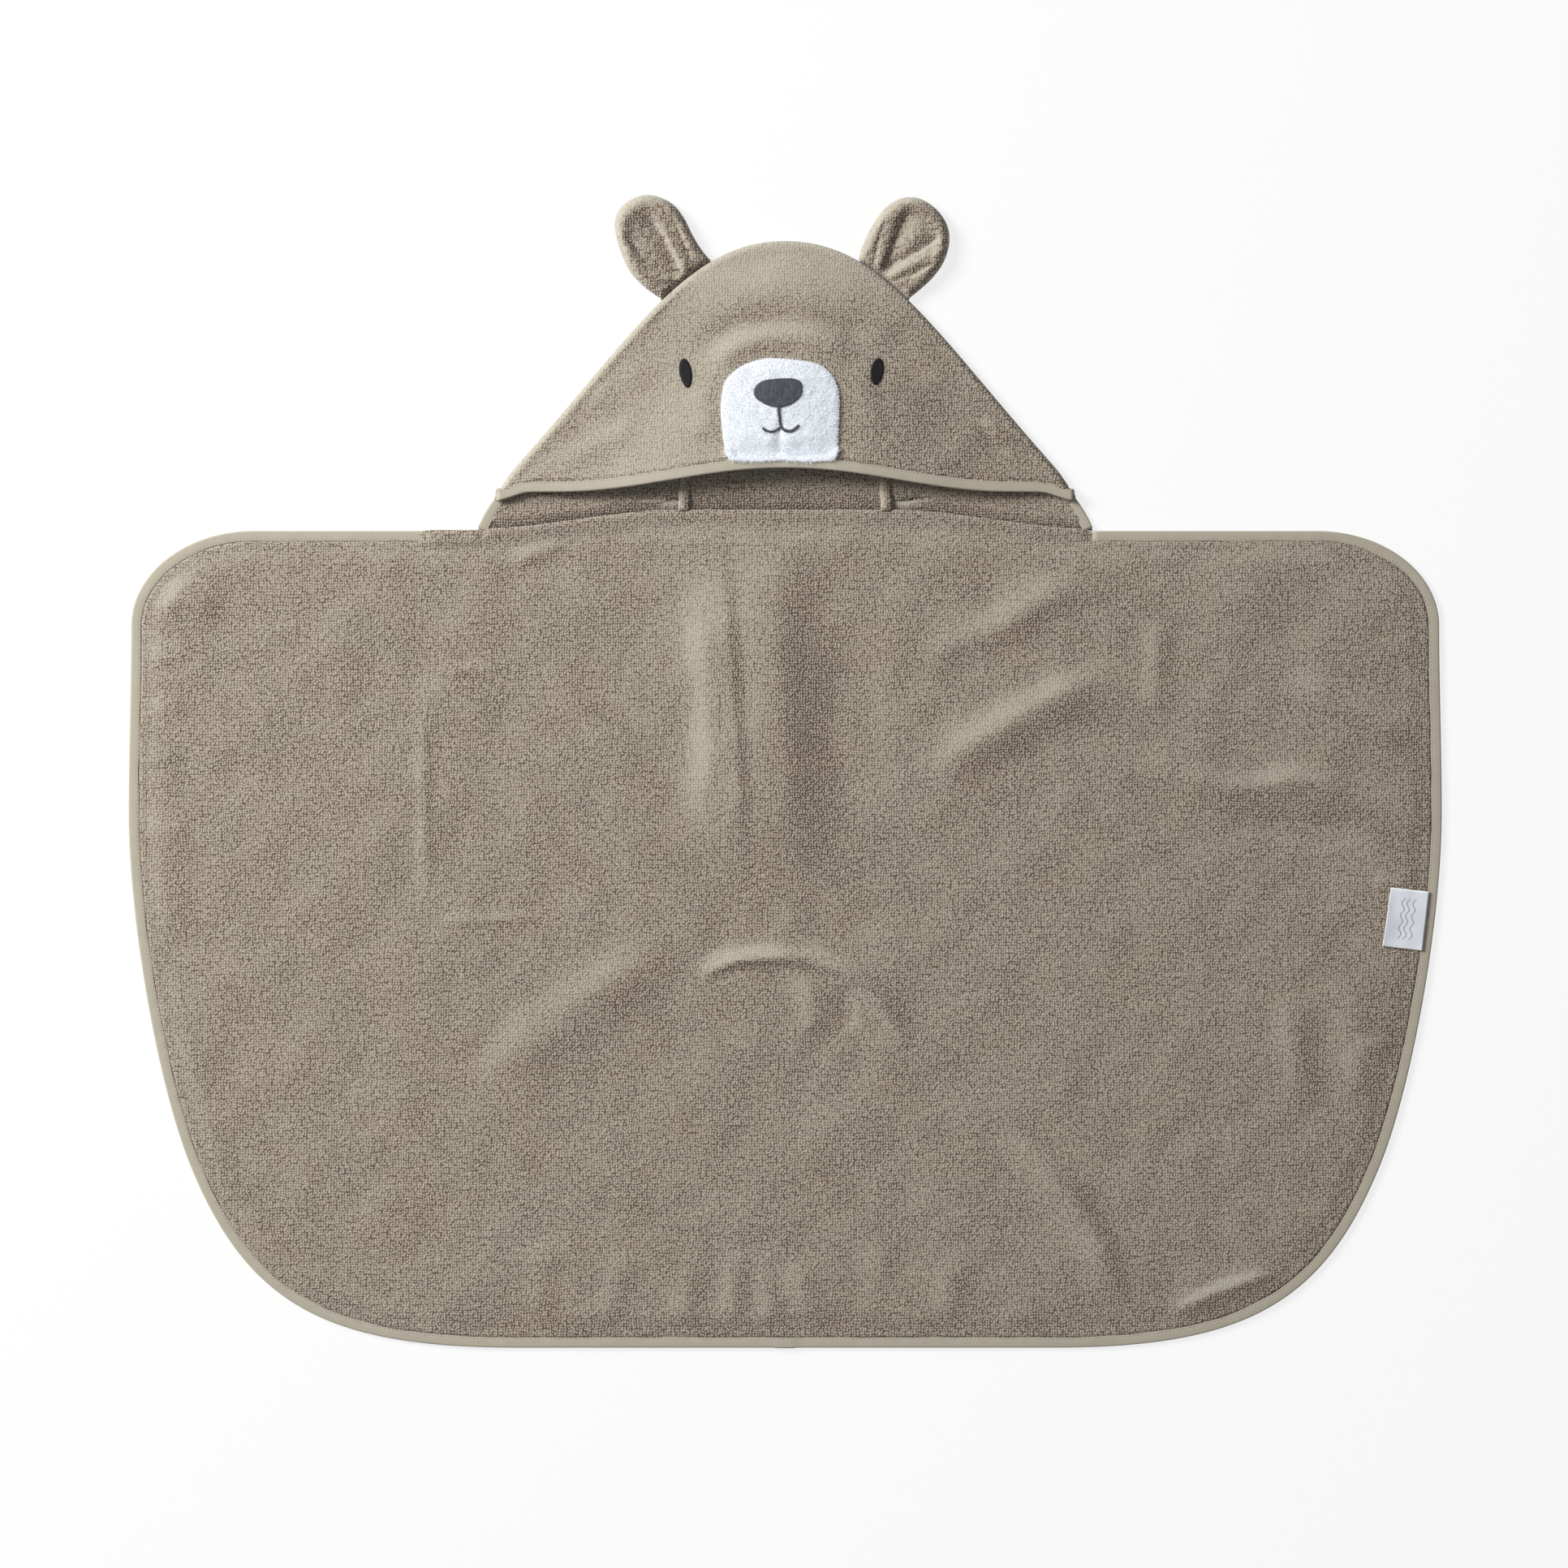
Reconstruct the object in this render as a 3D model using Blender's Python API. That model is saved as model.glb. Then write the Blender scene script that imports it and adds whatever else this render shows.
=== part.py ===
"""Hooded baby towel, laid flat on its back with the hood's face up.

Units are metres. +X runs across the towel, +Y from its hem towards the crown of the hood, +Z up from the
surface it lies on. Everything is drawn in the neck frame, whose y = 0 is the towel's straight top edge, and
hangs under one empty that moves the middle of the whole towel to the origin.

Each cloth piece is drawn as its middle surface, a net of points, and gets its thickness from cloth_solid.
Terry is squeezed thin along an edge, and the folded binding strip then sits flush round that edge.
"""

import math

import bmesh
import bpy
import numpy as np
from mathutils import Vector
from mathutils.bvhtree import BVHTree
from mathutils.kdtree import KDTree

# Overall sizes
TOWEL_WIDTH = 1.000
TOWEL_LENGTH = 0.622
NECK_WIDTH = 0.470
HOOD_LENGTH = 0.2205

# Cloth
TERRY = 0.0036
BINDING_CLOTH = 0.0005
GAP = 0.0003
BINDING_WIDTH = 0.0080
SQUEEZE_RAMP = 0.0030

# Outline of the towel
TOP_CORNER = (0.093, 0.072)
SIDE_BULGE = 0.002
WIDEST_DEPTH = 0.214
TAPER = (0.0475, 0.1376)
TAPER_SLOPE = (0.38, 0.925)
HEM_CORNER = 0.295
LAP_LENGTH = 0.012
LAP_THICKNESS = 0.0004

# Neck seam
NECK_RISE = 0.0145
NECK_LEVEL = 0.080

# Hood
FOLD_IN = 0.012
FOLD_RISE = 0.029
FOLD_RADIUS = 0.0030
SIDE_ANGLE = math.radians(47)
SIDE_REACH = 0.152
CROWN_REACH = 0.080
OPENING_RISE = 0.0175
OPENING_SPAN = 0.170
OPENING_LIFT = 0.0145
DOME_LIFT = 0.0120
BACK_SEAM_HALF_WIDTH = 0.077
BACK_SEAM_TOP = 0.65
SEAM_RIDGE = (0.0090, 0.0026)
SEAM_RIDGE_END = 0.80

# Ears
EAR_ROOT = (0.545, 0.740)
EAR_REACH = 0.0710
EAR_RADIUS = 0.0300
EAR_TERRY = 0.0030
EAR_DOME = 0.0040

# Face
MUZZLE_SIZE = (0.090, 0.0785)
MUZZLE_THICKNESS = (0.0020, 0.0050)
APPLIQUE_GAP = 0.0005
NOSE_SIZE = (0.037, 0.0225)
NOSE_DROP = 0.027
EYE_SIZE = (0.0100, 0.0220)
EYE_SPACING = 0.146
EYE_DROP = 0.022
EMBROIDERY = 0.0010
MOUTH_WIDTH = 0.0275
MOUTH_SAG = 0.0045
MOUTH_DROP = 0.0660
STROKE = 0.0024

# Label
LABEL_SIZE = (0.028, 0.045)
LABEL_CLOTH = 0.0005
LABEL_SLOT = 0.0004
LABEL_DEPTH = 0.298

WRAP = GAP + BINDING_CLOTH
EDGE_HALF = TERRY / 2 - WRAP
BOUND = BINDING_WIDTH - WRAP + GAP
SQUEEZED = BOUND + SQUEEZE_RAMP
FOLD_HALF = TERRY / 2 + FOLD_RADIUS
FOLD_TOP = TERRY / 2 + 2 * FOLD_RADIUS


# ---------------------------------------------------------------- scene, materials and nets


def clear_scene():
    for obj in list(bpy.data.objects):
        bpy.data.objects.remove(obj, do_unlink=True)


def linear(hex_colour):
    """An sRGB hex colour as linear RGBA."""
    channels = [int(hex_colour[i : i + 2], 16) / 255 for i in (1, 3, 5)]
    return [c / 12.92 if c <= 0.04045 else ((c + 0.055) / 1.055) ** 2.4 for c in channels] + [1.0]


def material(name, hex_colour, roughness):
    made = bpy.data.materials.new(name)
    made.use_nodes = True
    shader = made.node_tree.nodes["Principled BSDF"]
    shader.inputs["Base Color"].default_value = linear(hex_colour)
    shader.inputs["Roughness"].default_value = roughness
    shader.inputs["Metallic"].default_value = 0.0
    return made


def finish_object(name, bm, cloth):
    """Turns a bmesh into a named object with its material, shaded smooth except at its edges."""
    bmesh.ops.recalc_face_normals(bm, faces=bm.faces)
    mesh = bpy.data.meshes.new(name)
    bm.to_mesh(mesh)
    bm.free()
    mesh.shade_smooth()
    mesh.set_sharp_from_angle(angle=math.radians(40))
    mesh.materials.append(cloth)
    obj = bpy.data.objects.new(name, mesh)
    bpy.context.scene.collection.objects.link(obj)
    return obj


def cloth_solid(name, points, faces, half, cloth):
    """Gives a net of points its thickness: half is half the cloth's thickness at each point.

    Points that coincide are merged first, so a row may shrink to one point.
    """
    bm = bmesh.new()
    thickness = bm.verts.layers.float.new("half")
    verts = [bm.verts.new(p) for p in points]
    for vert, value in zip(verts, half):
        vert[thickness] = value
    for face in faces:
        bm.faces.new([verts[i] for i in face])
    bmesh.ops.remove_doubles(bm, verts=bm.verts, dist=1e-6)
    bm.normal_update()
    rim = [edge for edge in bm.edges if edge.is_boundary]
    sheet = list(bm.faces)
    middle = list(bm.verts)
    offsets = [vert.normal * vert[thickness] for vert in middle]
    under = {v: bm.verts.new(v.co - offset) for v, offset in zip(middle, offsets)}
    loops = [(loop.vert, loop.link_loop_next.vert) for edge in rim for loop in edge.link_loops]
    for face in sheet:
        bm.faces.new([under[v] for v in reversed(face.verts)])
    for first, second in loops:
        bm.faces.new([second, first, under[first], under[second]])
    for vert, offset in zip(middle, offsets):
        vert.co += offset
    return finish_object(name, bm, cloth)


def net_faces(rows, columns, first=0):
    """Quads of a net whose points are stored row by row."""
    return [
        (
            first + r * columns + c,
            first + r * columns + c + 1,
            first + (r + 1) * columns + c + 1,
            first + (r + 1) * columns + c,
        )
        for r in range(rows - 1)
        for c in range(columns - 1)
    ]


def swept_solid(name, sections, cloth):
    """A strip with the same number of corners at each station, closed at both ends."""
    bm = bmesh.new()
    rings = [[bm.verts.new(p) for p in section] for section in sections]
    corners = len(rings[0])
    for one, two in zip(rings, rings[1:]):
        for i in range(corners):
            j = (i + 1) % corners
            bm.faces.new([one[i], one[j], two[j], two[i]])
    bm.faces.new(rings[0])
    bm.faces.new(rings[-1])
    return finish_object(name, bm, cloth)


def bezier(p0, p1, p2, p3, count):
    """count + 1 points of a cubic curve in the plane."""
    t = np.linspace(0, 1, count + 1)[:, None]
    p0, p1, p2, p3 = (np.array(p, float) for p in (p0, p1, p2, p3))
    return (1 - t) ** 3 * p0 + 3 * (1 - t) ** 2 * t * p1 + 3 * (1 - t) * t**2 * p2 + t**3 * p3


def inward_normals(points, closed):
    """Unit normals in the plane, to the right of the way the points run."""
    ahead = np.roll(points, -1, axis=0) - points
    behind = points - np.roll(points, 1, axis=0)
    if not closed:
        ahead[-1] = behind[-1]
        behind[0] = ahead[0]
    ahead /= np.linalg.norm(ahead, axis=1)[:, None]
    behind /= np.linalg.norm(behind, axis=1)[:, None]
    along = ahead + behind
    along /= np.linalg.norm(along, axis=1)[:, None]
    return np.stack([along[:, 1], -along[:, 0]], 1)


def with_height(points, height):
    return np.column_stack([points, np.broadcast_to(height, len(points))])


def mirrored(points):
    """The same points on the other side of the towel, in reverse order."""
    flipped = np.array(points)[::-1].copy()
    flipped[:, 0] *= -1
    return flipped


# ---------------------------------------------------------------- towel body


def neck_y(x):
    """Height of the neck seam above the straight top edge."""
    t = np.clip((NECK_WIDTH / 2 - np.abs(x)) / (NECK_WIDTH / 2 - NECK_LEVEL), 0, 1)
    return NECK_RISE * t * t * (3 - 2 * t)


def bound_outline():
    """The binding's outer edge, clockwise from the right end of the neck to its left end."""
    half_width = TOWEL_WIDTH / 2
    shoulder = half_width - SIDE_BULGE
    corner_x, corner_y = TOP_CORNER
    top = np.linspace([NECK_WIDTH / 2 + GAP, 0], [shoulder - corner_x, 0], 8, endpoint=False)
    turn = np.linspace(math.pi / 2, 0, 11)
    corner = np.stack(
        [shoulder - corner_x + corner_x * np.cos(turn), -corner_y + corner_y * np.sin(turn)], 1
    )
    widest = np.array([half_width, -WIDEST_DEPTH])
    taper = np.array([half_width - TAPER[0], TAPER[1] - TOWEL_LENGTH])
    slope = np.array([-TAPER_SLOPE[0], -TAPER_SLOPE[1]])
    hem = np.array([half_width - HEM_CORNER, -TOWEL_LENGTH])
    shoulder_side = bezier(corner[-1], corner[-1] - [0, 0.045], widest + [0, 0.045], widest, 7)
    side = bezier(widest, widest - [0, 0.080], taper - 0.068 * slope, taper, 12)
    round_corner = bezier(taper, taper + 0.111 * slope, hem + [0.147, 0], hem, 20)
    bottom = np.linspace(hem, [LAP_LENGTH / 2 + GAP, -TOWEL_LENGTH], 9)
    lap = np.array([[LAP_LENGTH / 2, -TOWEL_LENGTH]])
    half = [top, corner, shoulder_side[1:], side[1:], round_corner[1:], bottom[1:], lap]
    right = np.concatenate(half)
    return np.concatenate([right, mirrored(right)])


def body_rings():
    """The body panel's edge, and the same loop moved in by the bound and the squeezed width.

    The loop runs clockwise: along the bound edge from right to left, then along the neck.
    """
    bound = bound_outline()
    edge = bound + WRAP * inward_normals(bound, closed=False)
    x = np.linspace(-NECK_WIDTH / 2, NECK_WIDTH / 2, 33)
    neck = np.stack([x, neck_y(x)], 1)
    loop = np.concatenate([edge, neck])
    normals = inward_normals(loop, closed=True)
    return bound, neck, [loop, loop + BOUND * normals, loop + SQUEEZED * normals]


def make_body_panel(rings, terry):
    count = len(rings[0])
    points = np.concatenate([with_height(ring, TERRY / 2) for ring in rings])
    half = np.repeat([EDGE_HALF, EDGE_HALF, TERRY / 2], count)
    faces = []
    for ring in range(2):
        for i in range(count):
            j = (i + 1) % count
            a, b = ring * count, (ring + 1) * count
            faces.append((a + j, a + i, b + i, b + j))
    faces.append(tuple(range(3 * count - 1, 2 * count - 1, -1)))
    return cloth_solid("body_panel", points, faces, half, terry)


def outward_ways(edge, inner, normals):
    """Unit vectors that leave the cloth at each point of its edge, square to the edge."""
    found = np.cross(normals, np.gradient(edge, axis=0))
    found /= np.linalg.norm(found, axis=1)[:, None]
    away = np.sign(np.sum(found * (edge - inner), axis=1))
    return found * away[:, None]


def binding_section(edge, inner, edge_normal, inner_normal, outward, lap=0.0):
    """Corners of the folded strip round one point of an edge. inner is the cloth's middle BOUND further in."""
    across = (inner - edge) / np.linalg.norm(inner - edge)
    height = TERRY / 2
    cavity = height - BINDING_CLOTH
    leg = BINDING_WIDTH - WRAP

    def corner(depth, up):
        share = max(depth, 0) / BOUND
        normal = edge_normal * (1 - share) + inner_normal * share
        place = edge + across * depth if depth > 0 else edge - outward * depth
        return place + normal / np.linalg.norm(normal) * up

    return [
        corner(-WRAP - lap, -height),
        corner(-WRAP - lap, height + lap),
        corner(leg, height + lap),
        corner(leg, cavity),
        corner(-GAP, cavity),
        corner(-GAP, -cavity),
        corner(leg, -cavity),
        corner(leg, -height),
    ]


def make_edge_binding(bound, rings, cloth):
    count = len(bound)
    up = np.tile([0, 0, 1.0], (count, 1))
    edge = with_height(rings[0][:count], TERRY / 2)
    inner = with_height(rings[1][:count], TERRY / 2)
    outward = outward_ways(edge, inner, up)
    sections = []
    for i in range(count):
        on_lap = abs(bound[i][0]) < LAP_LENGTH / 2 + GAP / 2 and bound[i][1] < -TOWEL_LENGTH / 2
        lap = LAP_THICKNESS if on_lap else 0.0
        sections.append(binding_section(edge[i], inner[i], up[i], up[i], outward[i], lap))
    return swept_solid("edge_binding", sections, cloth)


def make_neck_tape(neck, cloth):
    """The tape under the neck seam: it covers the squeezed allowance, on the back of the towel."""
    inside = inward_normals(neck, closed=False)
    ends = slice(1, len(neck) - 1)
    near = (neck + GAP * inside)[ends]
    far = (neck + (BOUND - GAP) * inside)[ends]
    points = np.concatenate([with_height(p, BINDING_CLOTH / 2) for p in (far, near)])
    half = np.full(len(points), BINDING_CLOTH / 2)
    return cloth_solid("neck_tape", points, net_faces(2, len(near)), half, cloth)


# ---------------------------------------------------------------- hood


def fold_corner():
    """Where the left side fold of the hood starts, on its outer surface."""
    return np.array([FOLD_IN - NECK_WIDTH / 2, FOLD_RISE])


def side_curve(t):
    """The hood's silhouette from the left fold corner (t = 0) to the middle of the crown (t = 1)."""
    t = np.atleast_1d(np.asarray(t, float))[:, None]
    start = fold_corner()
    crown = np.array([0, HOOD_LENGTH])
    one = start + SIDE_REACH * np.array([math.cos(SIDE_ANGLE), math.sin(SIDE_ANGLE)])
    two = crown - [CROWN_REACH, 0]
    return (1 - t) ** 3 * start + 3 * (1 - t) ** 2 * t * one + 3 * (1 - t) * t**2 * two + t**3 * crown


def side_normal(t):
    """Unit normal of the silhouette, pointing into the hood."""
    step = 1e-4
    along = side_curve(np.asarray(t) + step) - side_curve(np.asarray(t) - step)
    along /= np.linalg.norm(along, axis=1)[:, None]
    return np.stack([along[:, 1], -along[:, 0]], 1)


def opening_y(x):
    """The front edge of the hood's face, binding included."""
    bump = np.where(np.abs(x) < OPENING_SPAN, np.cos(math.pi * x / 2 / OPENING_SPAN) ** 2, 0)
    return FOLD_RISE + OPENING_RISE * bump


def coons(bottom, top, left, right):
    """A net between four curves that share their corners: rows run from bottom to top."""
    rows, columns = len(left), len(bottom)
    v = np.linspace(0, 1, rows)[:, None, None]
    u = np.linspace(0, 1, columns)[None, :, None]
    ruled = (1 - v) * bottom[None] + v * top[None] + (1 - u) * left[:, None] + u * right[:, None]
    corners = (
        (1 - u) * (1 - v) * bottom[0] + u * (1 - v) * bottom[-1] + (1 - u) * v * top[0] + u * v * top[-1]
    )
    return ruled - corners


def squeeze_rows(net, columns=slice(None)):
    """Moves the second and third row of a net to the bound and the squeezed distance from the first."""
    for row, distance in ((1, BOUND), (2, SQUEEZED)):
        way = (net[3] - net[0])[columns]
        net[row, columns] = net[0, columns] + way / np.linalg.norm(way, axis=1)[:, None] * distance
    return net


def side_stations(count):
    """Values of t up the side fold: the first steps are the bound and the squeezed width."""
    length = np.linalg.norm(side_curve(1e-3)[0] - side_curve(0)[0]) / 1e-3
    start = np.array([0, BOUND, SQUEEZED]) / length
    return np.concatenate([start, np.linspace(start[-1], BACK_SEAM_TOP, count - 2)[1:]])


def back_seam(rows):
    """The left back seam, from the neck to the silhouette, on the middle of the flat back layer."""
    foot_x = -BACK_SEAM_HALF_WIDTH
    foot = np.array([foot_x, neck_y(foot_x) + GAP])
    head = (side_curve(BACK_SEAM_TOP) + FOLD_HALF * side_normal(BACK_SEAM_TOP))[0]
    return np.linspace(foot, head, rows)


class HoodNet:
    """The middle surface of the hood's main panel, as points, faces and the rows along its free edge."""

    ROWS = 13
    ACROSS = 25
    FLAP_NECK = 6
    FLAP_EDGE = (0.07, 0.36, 0.68, 1.0)
    ROUND = 6

    def __init__(self):
        self.points = []
        self.faces = []
        self.t_side = side_stations(self.ROWS)
        self.t_crown = np.linspace(BACK_SEAM_TOP, 1, (self.ACROSS + 1) // 2)
        left = self.inset(self.t_side)
        crown = self.inset(self.t_crown)
        crown = np.concatenate([crown, mirrored(crown)[1:]])
        self.face_grid = self.face_net(left, crown)
        self.flap_grid = self.flap_net(left)
        self.fold_grid = self.fold_net()
        self.add(self.face_grid)
        self.add(self.flap_grid)
        self.add(self.flap_grid * [-1, 1, 1], turned=True)
        self.add(self.fold_grid, turned=True)

    def inset(self, t):
        return side_curve(t) + FOLD_HALF * side_normal(t)

    def face_net(self, left, crown):
        right = left * [-1, 1]
        x = np.linspace(left[0][0], right[0][0], self.ACROSS)
        bottom = np.stack([x, opening_y(x) + WRAP], 1)
        bottom[0], bottom[-1] = left[0], right[0]
        plan = squeeze_rows(coons(bottom, crown, left, right), slice(1, -1))
        u = np.linspace(0, 1, self.ACROSS)[None, :]
        v = np.linspace(0, 1, self.ROWS)[:, None]
        rise = OPENING_LIFT * (1 - v) + DOME_LIFT * 4 * v * (1 - v)
        height = FOLD_TOP + rise * np.sin(math.pi * u) ** 0.8
        return np.dstack([plan, height])

    def flap_net(self, left):
        """The left part that lies under the hood, from its back seam out to the fold."""
        seam = back_seam(self.ROWS)
        corner = np.array([WRAP - NECK_WIDTH / 2, GAP])
        x = np.linspace(seam[0][0], corner[0], self.FLAP_NECK + 1)
        neck = np.stack([x, neck_y(x) + GAP], 1)
        edge = corner + np.array(self.FLAP_EDGE)[:, None] * (left[0] - corner)
        bottom = np.concatenate([neck, edge])
        top = np.repeat(seam[-1][None], len(bottom), 0)
        right = left.copy()
        right[-1] = seam[-1]
        plan = squeeze_rows(coons(bottom, top, seam, right), slice(0, -1))
        return np.dstack([plan, np.full(plan.shape[:2], TERRY / 2)])

    def fold_net(self):
        """Half circles all along the silhouette: one row for each step round the fold."""
        t = np.concatenate([self.t_side, self.t_crown[1:]])
        centre, inward = self.inset(t), side_normal(t)
        centre = np.concatenate([centre, mirrored(centre)[1:]])
        inward = np.concatenate([inward, mirrored(inward)[1:]])
        rows = []
        for angle in np.linspace(-math.pi / 2, math.pi / 2, self.ROUND + 1):
            plan = centre - FOLD_RADIUS * math.cos(angle) * inward
            rows.append(with_height(plan, FOLD_HALF + FOLD_RADIUS * math.sin(angle)))
        return np.array(rows)

    def add(self, grid, turned=False):
        rows, columns = grid.shape[:2]
        faces = net_faces(rows, columns, len(self.points))
        self.faces += [face[::-1] for face in faces] if turned else faces
        self.points += [tuple(p) for p in grid.reshape(-1, 3)]

    def half_thickness(self):
        """Squeezed along the free edge and along the neck, full elsewhere."""
        face = np.full(self.face_grid.shape[:2], TERRY / 2)
        flap = np.full(self.flap_grid.shape[:2], TERRY / 2)
        fold = np.full(self.fold_grid.shape[:2], TERRY / 2)
        face[:2] = flap[:2] = EDGE_HALF
        fold[:, :2] = fold[:, -2:] = EDGE_HALF
        return np.concatenate([face.ravel(), flap.ravel(), flap.ravel(), fold.ravel()])

    def free_edge(self):
        """Pairs of points (edge, one row further in) from just above the neck on the left, round to the right."""
        left_flap = list(zip(self.flap_grid[0], self.flap_grid[1]))[self.FLAP_NECK + 1 :]
        left_fold = [(row[0], row[1]) for row in self.fold_grid[1:-1]]
        face = list(zip(self.face_grid[0], self.face_grid[1]))
        flip = np.array([-1, 1, 1])
        right = [(edge * flip, inner * flip) for edge, inner in (left_flap + left_fold)[::-1]]
        return left_flap + left_fold + face + right


def normals_on(net, places):
    """Normals of the net at places that are points of it."""
    bm = bmesh.new()
    verts = [bm.verts.new(p) for p in net.points]
    for face in net.faces:
        bm.faces.new([verts[i] for i in face])
    bmesh.ops.remove_doubles(bm, verts=bm.verts, dist=1e-6)
    bm.normal_update()
    tree = KDTree(len(bm.verts))
    normals = []
    for i, vert in enumerate(bm.verts):
        tree.insert(vert.co, i)
        normals.append(np.array(vert.normal))
    tree.balance()
    bm.free()
    return [normals[tree.find(place)[1]] for place in places]


def make_hood_main_panel(net, terry):
    return cloth_solid("hood_main_panel", net.points, net.faces, net.half_thickness(), terry)


def make_hood_edge_binding(net, cloth):
    edge, inner = (np.array(points) for points in zip(*net.free_edge()))
    edge_normals = normals_on(net, edge)
    ends = zip(edge, inner, edge_normals, normals_on(net, inner), outward_ways(edge, inner, edge_normals))
    sections = [binding_section(*end) for end in ends]
    return swept_solid("hood_edge_binding", sections, cloth)


def make_hood_back_gusset(net, terry):
    """The flat centre back, between the two seams, from the neck to the crown."""
    rows, columns = 9, len(net.t_crown) * 2 - 1
    # The panel's end leans by half a step of its fold, so its corner comes that much closer.
    crown_gap = GAP + TERRY / 2 * math.sin(math.pi / 2 / net.ROUND)
    crown = net.inset(net.t_crown) + crown_gap * side_normal(net.t_crown)
    seam = np.linspace(back_seam(2)[0] + [GAP, 0], crown[0] + [GAP, 0], rows)
    crown[0] = seam[-1]
    crown = np.concatenate([crown, mirrored(crown)[1:]])
    x = np.linspace(seam[0][0], -seam[0][0], columns)
    neck = np.stack([x, neck_y(x) + GAP], 1)
    plan = squeeze_rows(coons(neck, crown, seam, seam * [-1, 1]))
    points = np.dstack([plan, np.full(plan.shape[:2], TERRY / 2)])
    half = np.full((rows, columns), TERRY / 2)
    half[:2] = EDGE_HALF
    return cloth_solid("hood_back_gusset", points.reshape(-1, 3), net_faces(rows, columns), half.ravel(), terry)


def make_seam_ridge(name, side, terry):
    """The allowances of one back seam, folded flat over it on the inside of the hood."""
    width, height = SEAM_RIDGE
    line = back_seam(21)[: int(20 * SEAM_RIDGE_END) + 1] + [GAP / 2, 0]
    line[0][1] += GAP
    line[:, 0] *= side
    low = TERRY + GAP
    profile = [(-0.5, 0), (-0.5, 0.55), (-0.3, 1), (0.3, 1), (0.5, 0.55), (0.5, 0)]
    sections = [[(x + width * w, y, low + height * h) for w, h in profile] for x, y in line]
    return swept_solid(name, sections, terry)


# ---------------------------------------------------------------- ears


def ear_frame():
    """Middle of the left ear's root, and its directions along the root and outwards."""
    start, end = side_curve(EAR_ROOT)
    along = (end - start) / np.linalg.norm(end - start)
    return (start + end) / 2, along, np.array([-along[1], along[0]]), np.linalg.norm(end - start)


def ear_outline():
    """The left ear in plan: its root follows the hood's silhouette, its head is an arc."""
    middle, along, out, _ = ear_frame()
    t = np.linspace(EAR_ROOT[0], EAR_ROOT[1], 7)
    root = side_curve(t) - (GAP + 0.0001) * side_normal(t)
    turn = np.radians(np.linspace(-8, 188, 23))[:, None]
    centre = middle + out * (EAR_REACH - EAR_RADIUS)
    head = centre + EAR_RADIUS * (np.cos(turn) * along + np.sin(turn) * out)
    return np.concatenate([root, head]), centre - 0.010 * out


def rings_to(centre, outline, rings):
    """Shares of the way from a centre to an outline, as one point and a list of loops."""
    shares = np.linspace(0, 1, rings + 1)[1:]
    return shares, [centre + share * (outline - centre) for share in shares]


def disc_faces(count, rings):
    """Faces of a centre point followed by rings of count points each, running anticlockwise."""
    faces = [(0, 1 + i, 1 + (i + 1) % count) for i in range(count)]
    for ring in range(rings - 1):
        a, b = 1 + ring * count, 1 + (ring + 1) * count
        faces += [(a + i, b + i, b + (i + 1) % count, a + (i + 1) % count) for i in range(count)]
    return faces


def make_ear_layer(name, side, base, dome, terry):
    """One layer of an ear. base is its underside, and dome lifts its middle."""
    outline, centre = ear_outline()
    rings = 4
    shares, loops = rings_to(centre, outline, rings)
    plan = np.concatenate([centre[None]] + loops)
    lift = np.concatenate([[1.0], np.repeat(1 - shares**2, len(outline))])
    points = with_height(plan, base + EAR_TERRY / 2)
    points[:, 2] += dome * lift
    points[:, 0] *= side
    faces = disc_faces(len(outline), rings)
    faces = faces if side > 0 else [face[::-1] for face in faces]
    return cloth_solid(name, points, faces, np.full(len(points), EAR_TERRY / 2), terry)


# ---------------------------------------------------------------- face


def surface_of(obj):
    """What a dropped point lands on: the object's own faces, as they are in the neck frame."""
    mesh = obj.data
    return BVHTree.FromPolygons([v.co for v in mesh.vertices], [list(p.vertices) for p in mesh.polygons])


def height_on(surface, x, y):
    hit = surface.ray_cast(Vector((x, y, 1.0)), Vector((0, 0, -1)))
    return hit[0].z


def opening_centre_y():
    return float(opening_y(0.0)) + BINDING_WIDTH


def muzzle_outline():
    """A rounded square, anticlockwise: its foot is flatter and squarer than its brow."""
    width, height = MUZZLE_SIZE
    foot = opening_centre_y() + 2 * GAP
    centre = np.array([0, foot + height * 0.48])
    points = []
    for turn in np.radians(np.arange(0, 360, 10)):
        c, s = math.cos(turn), math.sin(turn)
        power = 2 / 3.2 if s > 0 else 2 / 4.5
        x = width / 2 * math.copysign(abs(c) ** (2 / 3.2), c)
        reach = height * (0.52 if s > 0 else 0.48)
        points.append([x, centre[1] + reach * math.copysign(abs(s) ** power, s)])
    return np.array(points), centre


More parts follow.
